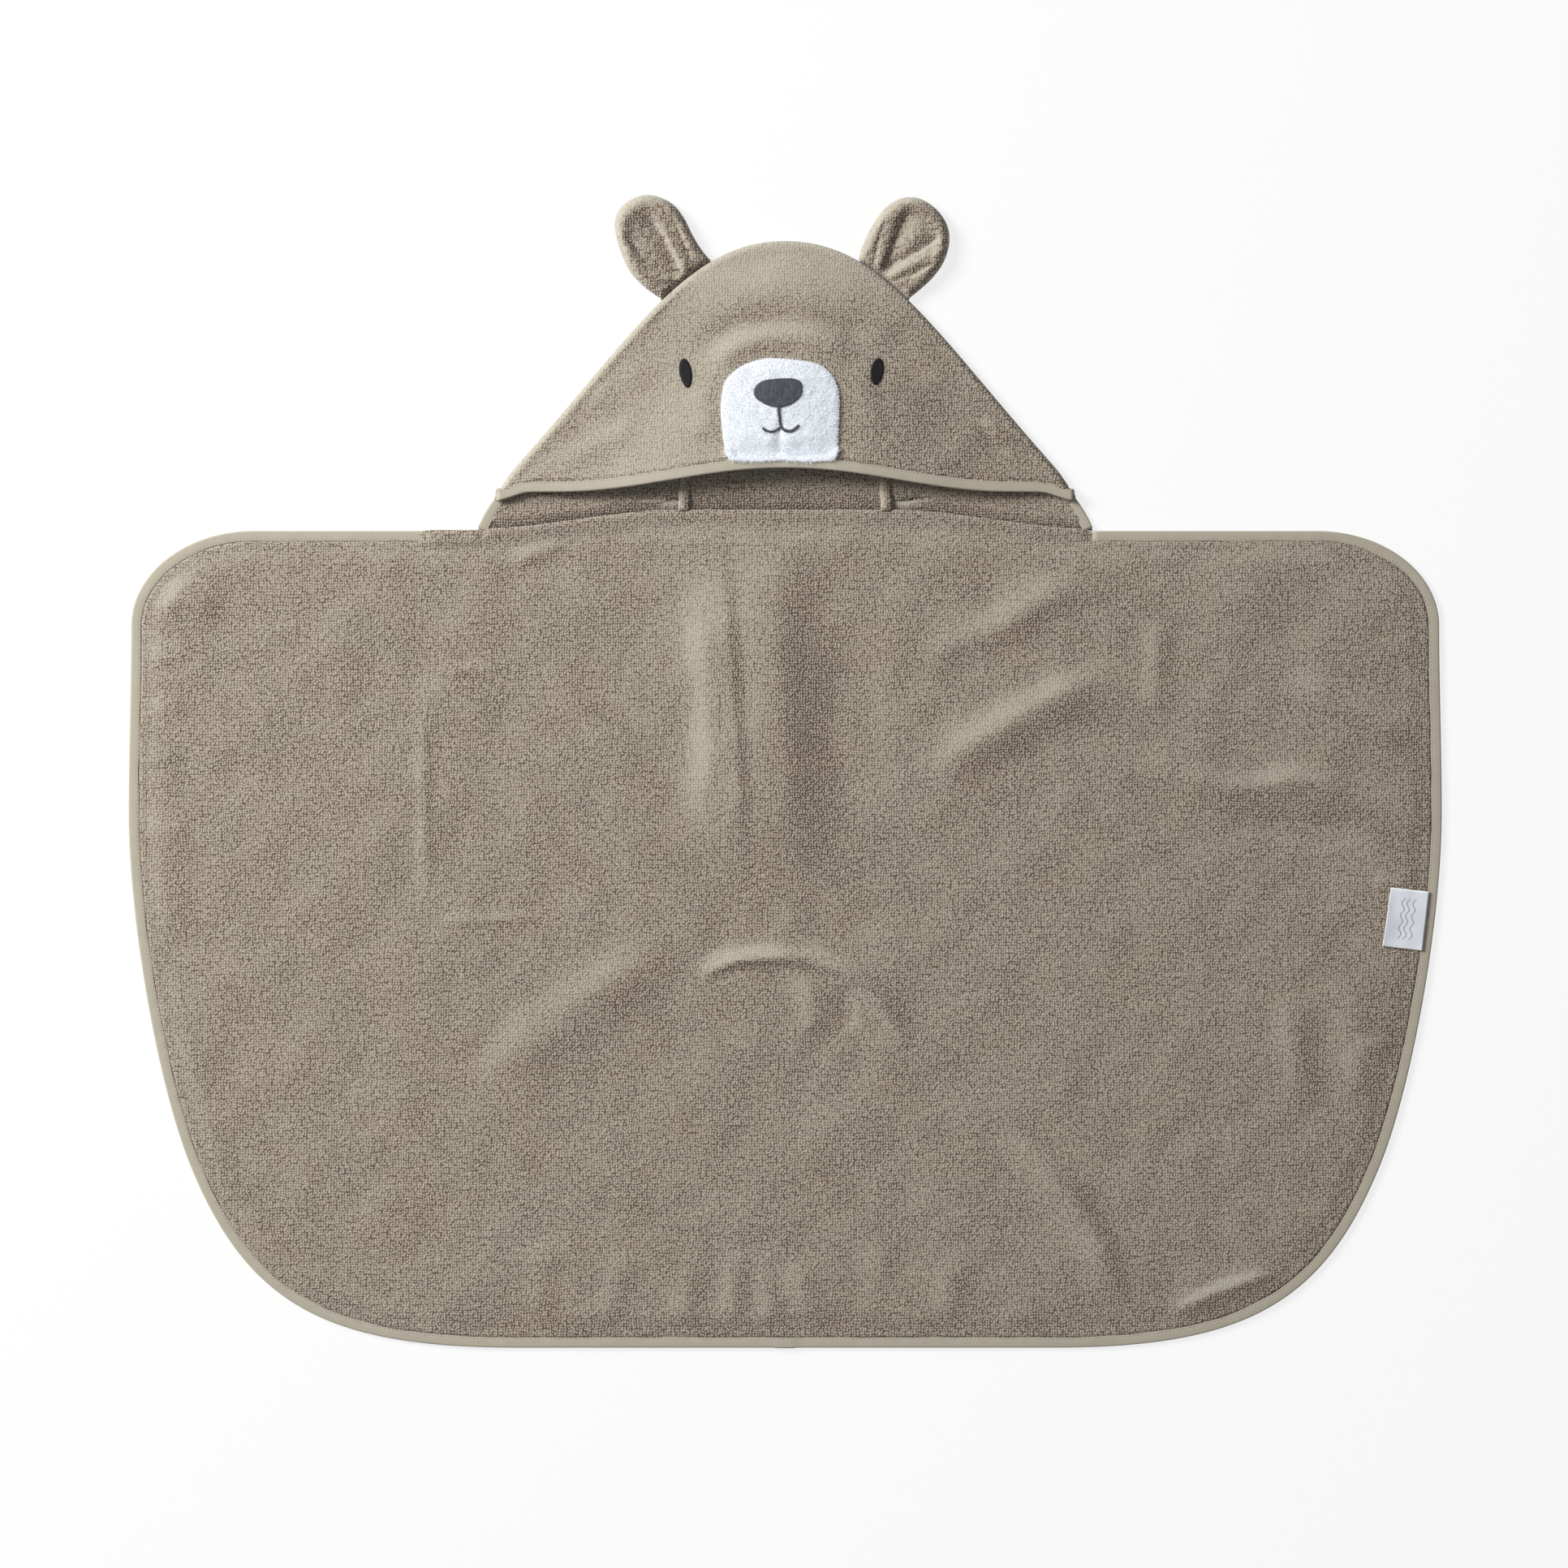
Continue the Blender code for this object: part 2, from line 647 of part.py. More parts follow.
def applique(name, outline, centre, rings, surface, gap, edge, middle, cloth):
    """A patch on a surface, thicker in its middle than at its edge."""
    shares, loops = rings_to(centre, outline, rings)
    plan = np.concatenate([centre[None]] + loops)
    level = np.concatenate([[0.0], np.repeat(shares, len(outline))])
    half = (edge + (middle - edge) * (1 - level**3)) / 2
    low = np.array([height_on(surface, x, y) for x, y in plan])
    # The rim clears the ramp beside a squeezed edge, which its flat facets would cut.
    inside = plan[-len(outline) :]
    way = centre - inside
    inside = inside + way / np.linalg.norm(way, axis=1)[:, None] * (SQUEEZE_RAMP + GAP)
    low[-len(outline) :] = np.maximum(low[-len(outline) :], [height_on(surface, x, y) for x, y in inside])
    points = with_height(plan, low + gap + half)
    bm = bmesh.new()
    bottom = [bm.verts.new((x, y, z - h)) for (x, y, z), h in zip(points, half)]
    top = [bm.verts.new((x, y, z + h)) for (x, y, z), h in zip(points, half)]
    for face in disc_faces(len(outline), rings):
        bm.faces.new([top[i] for i in face])
        bm.faces.new([bottom[i] for i in reversed(face)])
    first, count = len(plan) - len(outline), len(outline)
    for i in range(count):
        a, b = first + i, first + (i + 1) % count
        bm.faces.new([bottom[a], bottom[b], top[b], top[a]])
    return finish_object(name, bm, cloth)


def ellipse(centre, size, lean, count=20):
    turn = np.linspace(0, 2 * math.pi, count, endpoint=False)
    x, y = size[0] / 2 * np.cos(turn), size[1] / 2 * np.sin(turn)
    return np.stack([centre[0] + x + lean * y, centre[1] + y], 1)


def face_top_y():
    return opening_centre_y() + 2 * GAP + MUZZLE_SIZE[1]


def make_eye(name, side, surface, thread):
    centre = np.array([side * EYE_SPACING / 2, face_top_y() - EYE_DROP + MUZZLE_SIZE[1] * 0.12])
    outline = ellipse(centre, EYE_SIZE, side * 0.10)
    return applique(name, outline, centre, 2, surface, APPLIQUE_GAP, EMBROIDERY, EMBROIDERY, thread)


def nose_outline():
    """A rounded triangle with its point down."""
    centre = np.array([0, face_top_y() - NOSE_DROP])
    width, height = NOSE_SIZE
    points = []
    for turn in np.radians(np.arange(0, 360, 12)):
        c, s = math.cos(turn), math.sin(turn)
        narrow = 1 if s > 0 else 1 - 0.35 * s * s
        x = width / 2 * math.copysign(abs(c) ** 0.8, c) * narrow
        y = height * (0.42 if s > 0 else 0.58) * math.copysign(abs(s) ** (0.7 if s > 0 else 1.1), s)
        points.append([x, centre[1] + y])
    return np.array(points), centre


def make_mouth(surface, thread):
    """The smile and the line down from the nose, as one T-shaped piece of embroidery."""
    _, nose_centre = nose_outline()
    nose_tip = nose_centre[1] - NOSE_SIZE[1] * 0.58
    smile_y = face_top_y() - MOUTH_DROP + STROKE
    half_stroke = STROKE / 2
    outer = np.linspace(-MOUTH_WIDTH / 2, -half_stroke, 7)
    x = np.concatenate([outer, -outer[::-1]])
    dip = smile_y + MOUTH_SAG * (np.abs(x) / (MOUTH_WIDTH / 2)) ** 2
    lower = np.stack([x, dip - half_stroke], 1)
    upper = np.stack([x, dip + half_stroke], 1)
    rise = np.linspace(dip[6] + half_stroke, nose_tip - 2 * GAP, 6)[1:]
    stem = np.array([[sign * half_stroke, y] for y in rise for sign in (-1, 1)])
    plan = np.concatenate([lower, upper, stem])
    count = len(x)
    faces = net_faces(2, count)
    base = (count + 6, count + 7)
    for i in range(len(rise)):
        pair = (2 * count + 2 * i, 2 * count + 2 * i + 1)
        faces.append((base[0], base[1], pair[1], pair[0]))
        base = pair
    height = [height_on(surface, px, py) + APPLIQUE_GAP + EMBROIDERY / 2 for px, py in plan]
    half = np.full(len(plan), EMBROIDERY / 2)
    return cloth_solid("mouth_embroidery", with_height(plan, height), faces, half, thread)


# ---------------------------------------------------------------- label


def label_place(bound):
    """Where the label leaves the binding on the right side, and the way that edge runs there."""
    right = bound[: len(bound) // 2]
    i = int(np.argmin(np.abs(right[:, 1] + LABEL_DEPTH)))
    along = right[i - 1] - right[i + 1]
    along /= np.linalg.norm(along)
    inward = np.array([-along[1], along[0]])
    depth = (right[i][1] + LABEL_DEPTH) / along[1]
    return right[i] - along * depth + inward * (BINDING_WIDTH + GAP), along


def make_woven_label(bound, satin):
    """A strip folded in two, its fold pointing to the middle of the towel."""
    root, along = label_place(bound)
    inward = np.array([-along[1], along[0]])
    width, height = LABEL_SIZE
    low = TERRY + GAP
    high = low + 2 * LABEL_CLOTH + LABEL_SLOT
    profile = [
        (0, low),
        (width, low),
        (width, high),
        (0, high),
        (0, high - LABEL_CLOTH),
        (width - LABEL_CLOTH, high - LABEL_CLOTH),
        (width - LABEL_CLOTH, low + LABEL_CLOTH),
        (0, low + LABEL_CLOTH),
    ]
    sections = []
    for shift in np.linspace(-height / 2, height / 2, 3):
        sections.append([(*(root + shift * along + w * inward), z) for w, z in profile])
    return swept_solid("woven_label", sections, satin)


# ---------------------------------------------------------------- assembly


def joint_empty(name, place, parent, turn=0.0):
    """An empty on a joint's axis, which is its own X axis."""
    empty = bpy.data.objects.new(name, None)
    empty.empty_display_size = 0.03
    bpy.context.scene.collection.objects.link(empty)
    empty.location = place
    empty.rotation_euler = (0, 0, turn)
    if parent:
        bpy.context.view_layer.update()
        empty.parent = parent
        empty.matrix_parent_inverse = parent.matrix_world.inverted()
    return empty


def hang(parent, objects):
    bpy.context.view_layer.update()
    for obj in objects:
        obj.parent = parent
        obj.matrix_parent_inverse = parent.matrix_world.inverted()


def make_ear(name, side, hood_hinge, terry):
    middle, along, _, _ = ear_frame()
    lower = make_ear_layer(name + "_ear_back", side, 0.0, 0.0, terry)
    upper = make_ear_layer(name + "_ear_front", side, EAR_TERRY + GAP, EAR_DOME, terry)
    place = (side * middle[0], middle[1], FOLD_TOP + TERRY / 2 + GAP)
    hinge = joint_empty(name + "_ear_axis", place, hood_hinge, math.atan2(side * along[1], along[0]))
    hang(hinge, [lower, upper])


def main():
    clear_scene()
    terry = material("cotton_terry", "#a39985", 0.95)
    twill = material("cotton_binding", "#b0a998", 0.85)
    plush = material("white_plush", "#eeeff2", 0.95)
    charcoal = material("charcoal_thread", "#3b3e44", 0.55)
    satin = material("label_satin", "#e4e5ea", 0.45)

    frame = joint_empty("towel_frame", (0, 0, 0), None)

    bound, neck, rings = body_rings()
    body = [
        make_body_panel(rings, terry),
        make_edge_binding(bound, rings, twill),
        make_neck_tape(neck, twill),
    ]
    hang(frame, body)

    hood_hinge = joint_empty("hood_fold_axis", (0, 0, TERRY + GAP), frame)
    net = HoodNet()
    panel = make_hood_main_panel(net, terry)
    on_hood = surface_of(panel)
    outline, centre = muzzle_outline()
    edge, middle = MUZZLE_THICKNESS
    muzzle = applique("muzzle_patch", outline, centre, 6, on_hood, APPLIQUE_GAP, edge, middle, plush)
    on_muzzle = surface_of(muzzle)
    outline, centre = nose_outline()
    nose = applique(
        "nose_embroidery", outline, centre, 3, on_muzzle, APPLIQUE_GAP, EMBROIDERY, EMBROIDERY, charcoal
    )
    hood = [
        panel,
        make_hood_back_gusset(net, terry),
        make_seam_ridge("hood_seam_left", 1, terry),
        make_seam_ridge("hood_seam_right", -1, terry),
        make_hood_edge_binding(net, twill),
        muzzle,
        nose,
        make_mouth(on_muzzle, charcoal),
        make_eye("left_eye_embroidery", -1, on_hood, charcoal),
        make_eye("right_eye_embroidery", 1, on_hood, charcoal),
    ]
    hang(hood_hinge, hood)
    make_ear("left", 1, hood_hinge, terry)
    make_ear("right", -1, hood_hinge, terry)

    root, along = label_place(bound)
    label = make_woven_label(bound, satin)
    height = TERRY + GAP + LABEL_CLOTH + LABEL_SLOT / 2
    label_hinge = joint_empty("label_flip_axis", (*root, height), frame, math.atan2(along[1], along[0]))
    hang(label_hinge, [label])

    ear_tip = max(ear_outline()[0][:, 1])
    frame.location.y = (TOWEL_LENGTH - ear_tip) / 2
    bpy.context.view_layer.update()


main()
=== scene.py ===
"""Looks of the hooded baby towel: terry laid flat, face side up, with its hood laid out beyond the neck.

Units are metres in the row frame. +X runs across the towel, +Y from its hem to the crown of the hood, +Z up.
"""

import math

import bmesh
import bpy
import numpy as np
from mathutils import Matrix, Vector
from mathutils.bvhtree import BVHTree
from mathutils.geometry import delaunay_2d_cdt
from mathutils.kdtree import KDTree


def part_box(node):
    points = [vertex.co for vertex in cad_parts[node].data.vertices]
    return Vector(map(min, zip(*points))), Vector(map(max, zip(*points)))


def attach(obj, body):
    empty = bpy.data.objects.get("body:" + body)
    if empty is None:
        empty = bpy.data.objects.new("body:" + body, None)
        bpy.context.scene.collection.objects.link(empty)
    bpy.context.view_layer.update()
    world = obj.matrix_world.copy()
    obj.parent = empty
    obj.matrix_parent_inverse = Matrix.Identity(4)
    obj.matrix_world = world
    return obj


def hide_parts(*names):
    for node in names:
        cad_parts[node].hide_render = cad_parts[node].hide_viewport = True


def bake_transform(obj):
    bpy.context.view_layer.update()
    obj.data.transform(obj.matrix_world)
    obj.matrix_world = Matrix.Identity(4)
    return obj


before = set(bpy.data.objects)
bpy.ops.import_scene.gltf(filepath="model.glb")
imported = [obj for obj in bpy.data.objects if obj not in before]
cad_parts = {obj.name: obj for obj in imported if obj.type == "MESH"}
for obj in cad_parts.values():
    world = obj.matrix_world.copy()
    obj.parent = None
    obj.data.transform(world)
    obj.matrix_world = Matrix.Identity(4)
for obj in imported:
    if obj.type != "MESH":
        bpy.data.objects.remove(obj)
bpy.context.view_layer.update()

# ---------------------------------------------------------------- studio
# A pale floor that glows faintly, like paper on a light table, one large soft lamp up on the left and a
# wide fill above, with a camera that looks straight down.

VIEW_CENTRE = (-0.0009, -0.0079)
VIEW_SPAN = 1.1934
LENS, SENSOR = 100.0, 36.0
CLOTH_LEVEL = 0.004
FLOOR_HALF = 6.0
FLOOR_TONE, FLOOR_GLOW, GLOW_STRENGTH = "#6e6e6e", "#ffffff", 0.785
SKY, SKY_STRENGTH = (0.90, 0.95, 1.0), 0.21


def linear(hex_colour):
    """An sRGB hex colour as linear RGBA."""
    channels = [int(hex_colour[i : i + 2], 16) / 255 for i in (1, 3, 5)]
    return [c / 12.92 if c <= 0.04045 else ((c + 0.055) / 1.055) ** 2.4 for c in channels] + [1.0]


def add(tree, kind, inputs=None, **settings):
    """Adds a node with its settings, and gives each input a value or links it to another node's output."""
    made = tree.nodes.new(kind)
    for name, value in settings.items():
        setattr(made, name, value)
    for socket, value in (inputs or {}).items():
        if isinstance(value, bpy.types.NodeSocket):
            tree.links.new(value, made.inputs[socket])
        else:
            made.inputs[socket].default_value = value
    return made


def blank_material(name):
    made = bpy.data.materials.new(name)
    made.use_nodes = True
    made.node_tree.nodes.clear()
    return made, made.node_tree


def finish_material(tree, colour, roughness, normal=None, **constants):
    """The shader and its output. The constants are sockets that stay the same all over."""
    shader = add(tree, "ShaderNodeBsdfPrincipled", {"Base Color": colour, "Roughness": roughness})
    for name, value in constants.items():
        shader.inputs[name.replace("_", " ")].default_value = value
    if normal is not None:
        tree.links.new(normal, shader.inputs["Normal"])
    add(tree, "ShaderNodeOutputMaterial", {"Surface": shader.outputs[0]})


scene = bpy.context.scene
scene.view_settings.view_transform = "Standard"

camera_data = bpy.data.cameras.new("camera")
camera_data.lens = LENS
camera_data.sensor_width = SENSOR
camera = bpy.data.objects.new("camera", camera_data)
camera.location = (*VIEW_CENTRE, VIEW_SPAN * LENS / SENSOR + CLOTH_LEVEL)
scene.collection.objects.link(camera)
scene.camera = camera

for name, place, size, energy, tint in (
    ("key_lamp", (-3.05, 1.75, 2.25), 1.6, 285.0, (1.0, 0.985, 0.955)),
    ("fill_lamp", (0.6, -0.8, 4.2), 3.0, 20.0, (1.0, 0.99, 0.98)),
):
    lamp_data = bpy.data.lights.new(name, "AREA")
    lamp_data.size = size
    lamp_data.energy = energy
    lamp_data.color = tint
    lamp = bpy.data.objects.new(name, lamp_data)
    lamp.location = place
    lamp.rotation_euler = (-Vector(place)).to_track_quat("-Z", "Y").to_euler()
    scene.collection.objects.link(lamp)

world = bpy.data.worlds.new("studio")
world.use_nodes = True
world.node_tree.nodes["Background"].inputs["Color"].default_value = (*SKY, 1.0)
world.node_tree.nodes["Background"].inputs["Strength"].default_value = SKY_STRENGTH
scene.world = world

floor_mesh = bpy.data.meshes.new("floor")
floor_corners = [(FLOOR_HALF * x, FLOOR_HALF * y, 0) for x, y in ((-1, -1), (1, -1), (1, 1), (-1, 1))]
floor_mesh.from_pydata(floor_corners, [], [(0, 1, 2, 3)])
floor = bpy.data.objects.new("floor", floor_mesh)
scene.collection.objects.link(floor)
paper, tree = blank_material("matte_white_paper")
finish_material(
    tree, linear(FLOOR_TONE), 0.9, Emission_Color=linear(FLOOR_GLOW), Emission_Strength=GLOW_STRENGTH
)
floor_mesh.materials.append(paper)

# ---------------------------------------------------------------- towel body
# One layer of two-faced cotton terry, 3.6 mm thick over its loops, cut to a wide rounded apron shape.
# It lies on the floor with the soft ridges and creases that folding and handling leave.

TOWEL_WIDTH = 1.000
TOWEL_LENGTH = 0.622
NECK_WIDTH = 0.470
NECK_RISE = 0.0145
NECK_LEVEL = 0.080
TERRY = 0.0036
WRAP = 0.0008
GAP = 0.0003
TOP_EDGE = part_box("edge_binding")[1].y
SHOULDER_CORNER = (0.093, 0.072)
SIDE_BULGE = 0.002
WIDEST = 0.214
TAPER = (0.0475, 0.1376)
TAPER_SLOPE = np.array([-0.38, -0.925])
HEM_CORNER = 0.295
# How far each curve of the outline runs straight on from its ends: widest place, lower side and round corner.
WIDEST_HANDLE, LOWER_HANDLES, ROUND_HANDLES = 0.045, (0.080, 0.068), (0.111, 0.147)
LOOP_PITCH = 0.00204
STATION = 0.0030
NET_PITCH = 0.00290
UNDER_PITCH = 0.0085
UNDER_EDGE = 0.0009
NECK_EASE = 0.012
HELD_EDGE = (0.006, 0.026)
PILE_WAVE = 0.00011
ROLL_SPAN, ROLL_DEPTH = (-0.286, -0.266, -0.2300, -0.2345), (0.0130, 0.0080)
ROLL_HEIGHT, ROLL_DROP, ROLL_OVER = 0.0056, 0.0016, 0.0007


def bezier(p0, p1, p2, p3, count):
    t = np.linspace(0, 1, count + 1)[:, None]
    p0, p1, p2, p3 = (np.array(p, float) for p in (p0, p1, p2, p3))
    return (1 - t) ** 3 * p0 + 3 * (1 - t) ** 2 * t * p1 + 3 * (1 - t) * t**2 * p2 + t**3 * p3


def mirrored(points):
    flipped = np.array(points)[::-1].copy()
    flipped[:, 0] *= -1
    return flipped


def neck_y(x):
    """Height of the neck seam over the straight top edge."""
    t = np.clip((NECK_WIDTH / 2 - np.abs(x)) / (NECK_WIDTH / 2 - NECK_LEVEL), 0, 1)
    return NECK_RISE * t * t * (3 - 2 * t)


def evenly(points, pitch):
    """Points at equal steps along an open line."""
    steps = np.linalg.norm(np.diff(points, axis=0), axis=1)
    length = np.concatenate([[0], np.cumsum(steps)])
    at = np.linspace(0, length[-1], max(2, round(length[-1] / pitch) + 1))
    return np.stack([np.interp(at, length, points[:, i]) for i in range(points.shape[1])], 1)


def smooth_step(value, low, high):
    t = np.clip((value - low) / (high - low), 0, 1)
    return t * t * (3 - 2 * t)


def bound_outline():
    """Outer edge of the binding, clockwise from the right end of the neck to its left end."""
    half = TOWEL_WIDTH / 2
    shoulder = half - SIDE_BULGE
    corner_x, corner_y = SHOULDER_CORNER
    top = np.array([[NECK_WIDTH / 2 + GAP, 0], [shoulder - corner_x, 0]])
    turn = np.linspace(math.pi / 2, 0, 41)
    corner = np.stack([shoulder - corner_x + corner_x * np.cos(turn), corner_y * (np.sin(turn) - 1)], 1)
    widest = np.array([half, -WIDEST])
    taper = np.array([half - TAPER[0], TAPER[1] - TOWEL_LENGTH])
    hem = np.array([half - HEM_CORNER, -TOWEL_LENGTH])
    upper = bezier(corner[-1], corner[-1] - [0, WIDEST_HANDLE], widest + [0, WIDEST_HANDLE], widest, 30)
    lower = bezier(widest, widest - [0, LOWER_HANDLES[0]], taper - LOWER_HANDLES[1] * TAPER_SLOPE, taper, 50)
    after, before = ROUND_HANDLES
    round_corner = bezier(taper, taper + after * TAPER_SLOPE, hem + [before, 0], hem, 80)
    right = np.concatenate([top, corner[1:], upper[1:], lower[1:], round_corner[1:], [[0, -TOWEL_LENGTH]]])
    return evenly(np.concatenate([right, mirrored(right)[1:]]), STATION)


def inward_ways(points, closed=False):
    """Unit normals in the plane, to the right of the way the points run."""
    along = np.roll(points, -1, axis=0) - np.roll(points, 1, axis=0)
    if not closed:
        along[0] = points[1] - points[0]
        along[-1] = points[-1] - points[-2]
    along /= np.linalg.norm(along, axis=1)[:, None]
    return np.stack([along[:, 1], -along[:, 0]], 1)


def line_distance(x, y, line):
    """Signed distance to a line, positive on its right as it runs, and the share of the way along it."""
    best = np.full(x.shape, 1e9)
    side = np.zeros(x.shape)
    share = np.zeros(x.shape)
    steps = np.linalg.norm(np.diff(line, axis=0), axis=1)
    start = np.concatenate([[0], np.cumsum(steps)])
    for i, (a, b) in enumerate(zip(line, line[1:])):
        way = (b - a) / steps[i]
        t = np.clip((x - a[0]) * way[0] + (y - a[1]) * way[1], 0, steps[i])
        dx, dy = x - a[0] - way[0] * t, y - a[1] - way[1] * t
        gap = np.hypot(dx, dy)
        nearer = gap < best
        best = np.where(nearer, gap, best)
        side = np.where(nearer, dx * way[1] - dy * way[0], side)
        share = np.where(nearer, (start[i] + t) / start[-1], share)
    return np.sign(side) * best, share


def curved(points):
    """A smooth line through the points, in metres from millimetres."""
    points = np.array(points, float) / 1000
    padded = np.concatenate([[2 * points[0] - points[1]], points, [2 * points[-1] - points[-2]]])
    pieces = []
    for p0, p1, p2, p3 in zip(padded, padded[1:], padded[2:], padded[3:]):
        t = np.linspace(0, 1, 7)[:-1, None]
        pieces.append(
            0.5
            * (
                2 * p1
                + (p2 - p0) * t
                + (2 * p0 - 5 * p1 + 4 * p2 - p3) * t**2
                + (3 * p1 - p0 - 3 * p2 + p3) * t**3
            )
        )
    return np.concatenate(pieces + [points[-1:]])


# The way up and to the left, about toward the key lamp, and the slopes between which the painted light turns
# the pile from shaded and open to lit and smooth.
LAMP_WAY = np.array([-0.78, 0.62, 0.0])
LIT_SLOPE_RANGE = (-0.09, 0.13)
RIDGE_GAIN = 0.40
# Each ridge, in mm: height, width of its left and right flank, and the points that its crest runs through.
# A negative height is a furrow. The left flank is on the left hand of someone who walks from the first point.
BODY_RIDGES = [
    (8.0, 54, 25, [(6, -110), (2, -40), (-3, 30), (-9, 105), (-16, 197)]),
    (2.6, 24, 7, [(-34, -84), (-37, -10), (-41, 60), (-46, 125), (-54, 196)]),
    (1.6, 10, 12, [(-62, -60), (-58, 10), (-60, 80), (-70, 150)]),
    (-1.8, 26, 26, [(52, -40), (50, 40), (46, 120)]),
    (5.2, 8, 3.2, [(-66, -160), (-50, -148), (-28, -142.5), (0, -142), (26, -146)]),
    (3.2, 10, 6, [(0, -140), (33, -146), (58, -160), (84, -190), (96, -214)]),
    (1.8, 10, 10, [(18, -150), (20, -175), (26, -205)]),
    (-1.4, 8, 8, [(43, -158), (46, -180), (50, -200)]),
    (2.8, 22, 20, [(-76, -118), (-120, -152), (-160, -180), (-205, -214), (-250, -240)]),
    (1.2, 9, 9, [(-186, 92), (-154, 46), (-120, 9), (-92, -30)]),
    (4.2, 14, 17, [(100, -4), (150, 24), (195, 50), (238, 69), (264, 76)]),
    (2.4, 15, 11, [(90, 80), (130, 98), (168, 112), (205, 134), (258, 138)]),
    (2.6, 10, 13, [(262, 24), (300, 2), (345, -12), (388, -6), (430, -20), (486, -54)]),
    (2.4, 12, 12, [(372, 76), (400, 62), (440, 42), (492, 16)]),
    (-1.6, 9, 12, [(330, -34), (370, -40), (420, -44), (450, -56)]),
    (1.4, 9, 9, [(285, 122), (284, 84), (279, 40)]),
    (3.6, 9, 15, [(150, -272), (190, -292), (222, -326), (246, -372), (262, -424)]),
    (3.0, 6, 9, [(288, -418), (318, -400), (350, -388), (392, -384)]),
    (-2.2, 15, 10, [(-436, -288), (-396, -330), (-350, -366), (-300, -398), (-262, -424)]),
    (2.0, 12, 12, [(372, -165), (388, -205), (396, -260)]),
    (1.6, 14, 14, [(420, -150), (436, -200), (430, -262)]),
    (0.9, 5, 5, [(-274, 66), (-275, 0), (-274, -60), (-272, -112)]),
    (0.8, 5, 5, [(-262, 78), (-238, 79), (-214, 76)]),
    (0.8, 5, 5, [(-272, -112), (-225, -112), (-170, -110)]),
    (1.6, 9, 6, [(-212, 158), (-186, 170), (-160, 182)]),
    (2.2, 16, 12, [(-480, 138), (-455, 130), (-428, 118)]),
    (1.2, 12, 12, [(-188, -426), (-184, -380), (-178, -346)]),
    (1.1, 10, 12, [(-137, -426), (-126, -384), (-118, -356)]),
    (0.9, 10, 9, [(-82, -426), (-74, -392), (-68, -364)]),
    (1.3, 10, 9, [(-43, -428), (-38, -388), (-30, -356)]),
    (1.0, 9, 8, [(-6, -426), (-14, -390), (-22, -366)]),
    (1.2, 10, 11, [(22, -428), (14, -390), (8, -362)]),
    (0.8, 11, 11, [(64, -424), (70, -386), (78, -350)]),
    (1.0, 10, 10, [(129, -426), (126, -392), (132, -366)]),
    (0.8, 8, 8, [(-490, 94), (-470, 90), (-448, 92)]),
    (0.8, 8, 8, [(-494, 52), (-474, 50), (-452, 54)]),
    (0.7, 8, 8, [(-494, 16), (-476, 12), (-458, 14)]),
    (0.7, 8, 8, [(-492, -40), (-470, -44), (-452, -40)]),
    (1.2, 7, 7, [(484, -80), (464, -84), (444, -82)]),
    (1.2, 7, 7, [(468, -214), (450, -208), (432, -210)]),
]


def waves(x, y, seed, scale, count=24):
    """A soft random field from -1 to 1, made of sine waves about one scale long."""
    draw = np.random.default_rng(seed)
    total = np.zeros(np.shape(x))
    for _ in range(count):
        turn = draw.uniform(0, 2 * math.pi)
        number = 2 * math.pi / (scale * draw.uniform(0.7, 1.6))
        shift = draw.uniform(0, 2 * math.pi)
        total += np.sin(number * (x * math.cos(turn) + y * math.sin(turn)) + shift)
    return total / math.sqrt(count)


def ridged(x, y, ridges, start, end):
    """Height that a list of ridges adds at each place. A crest fades out along the shares start and end."""
    height = np.zeros(np.shape(x))
    for crest, left, right, points in ridges:
        signed, share = line_distance(x, y, curved(points))
        width = np.where(signed < 0, left, right) / 1000
        ends = smooth_step(share, *start) * smooth_step(share, *end)
        height = height + crest / 1000 * ends * np.exp(-((signed / width) ** 2))
    return height


def lay_height(x, y):
    """How far the lay of the cloth lifts its surface at a place in the row frame."""
    height = 0.0005 + 0.00013 * waves(x, y, 3, 0.085) + 0.00005 * waves(x, y, 4, 0.030)
    return np.maximum(height + RIDGE_GAIN * ridged(x, y, BODY_RIDGES, (0.0, 0.35), (1.0, 0.65)), 0.0)


def plain_object(name, mesh, finish):
    mesh.materials.append(finish)
    mesh.shade_smooth()
    made = bpy.data.objects.new(name, mesh)
    scene.collection.objects.link(made)
    return made


def map_cloth(mesh, uv):
    """Gives a mesh its flat cloth map, in metres, from one place for each vertex."""
    layer = mesh.uv_layers.new(name="cloth")
    corner = np.zeros(len(mesh.loops), np.int32)
    mesh.loops.foreach_get("vertex_index", corner)
    layer.data.foreach_set("uv", np.asarray(uv, np.float32)[corner].ravel())


def paint_lit_share(mesh, slope=None, steep=1.0):
    """Stores the painted-light share: 1 on flanks that rise down to the right, facing up and left toward the
    key lamp, where the pile is painted smooth and light, and 0 on flanks turned away, painted with deep gap
    shade.
    """
    if slope is None:
        normals = np.zeros(len(mesh.vertices) * 3, np.float32)
        mesh.vertex_normals.foreach_get("vector", normals)
        slope = -normals.reshape(-1, 3) @ LAMP_WAY * steep
    else:
        slope = np.concatenate([slope, np.zeros(len(mesh.vertices) - len(slope))])
    layer = mesh.attributes.new("lit_share", "FLOAT", "POINT")
    layer.data.foreach_set("value", smooth_step(-slope, *LIT_SLOPE_RANGE).astype(np.float32))


def inside(loop, points):
    """Which points lie inside a closed loop."""
    found = np.zeros(len(points), bool)
    x, y = points[:, 0], points[:, 1]
    for (ax, ay), (bx, by) in zip(loop, np.roll(loop, -1, axis=0)):
        if ay == by:
            continue
        crosses = (ay > y) != (by > y)
        found ^= crosses & (x < (bx - ax) * (y - ay) / (by - ay) + ax)
    return found


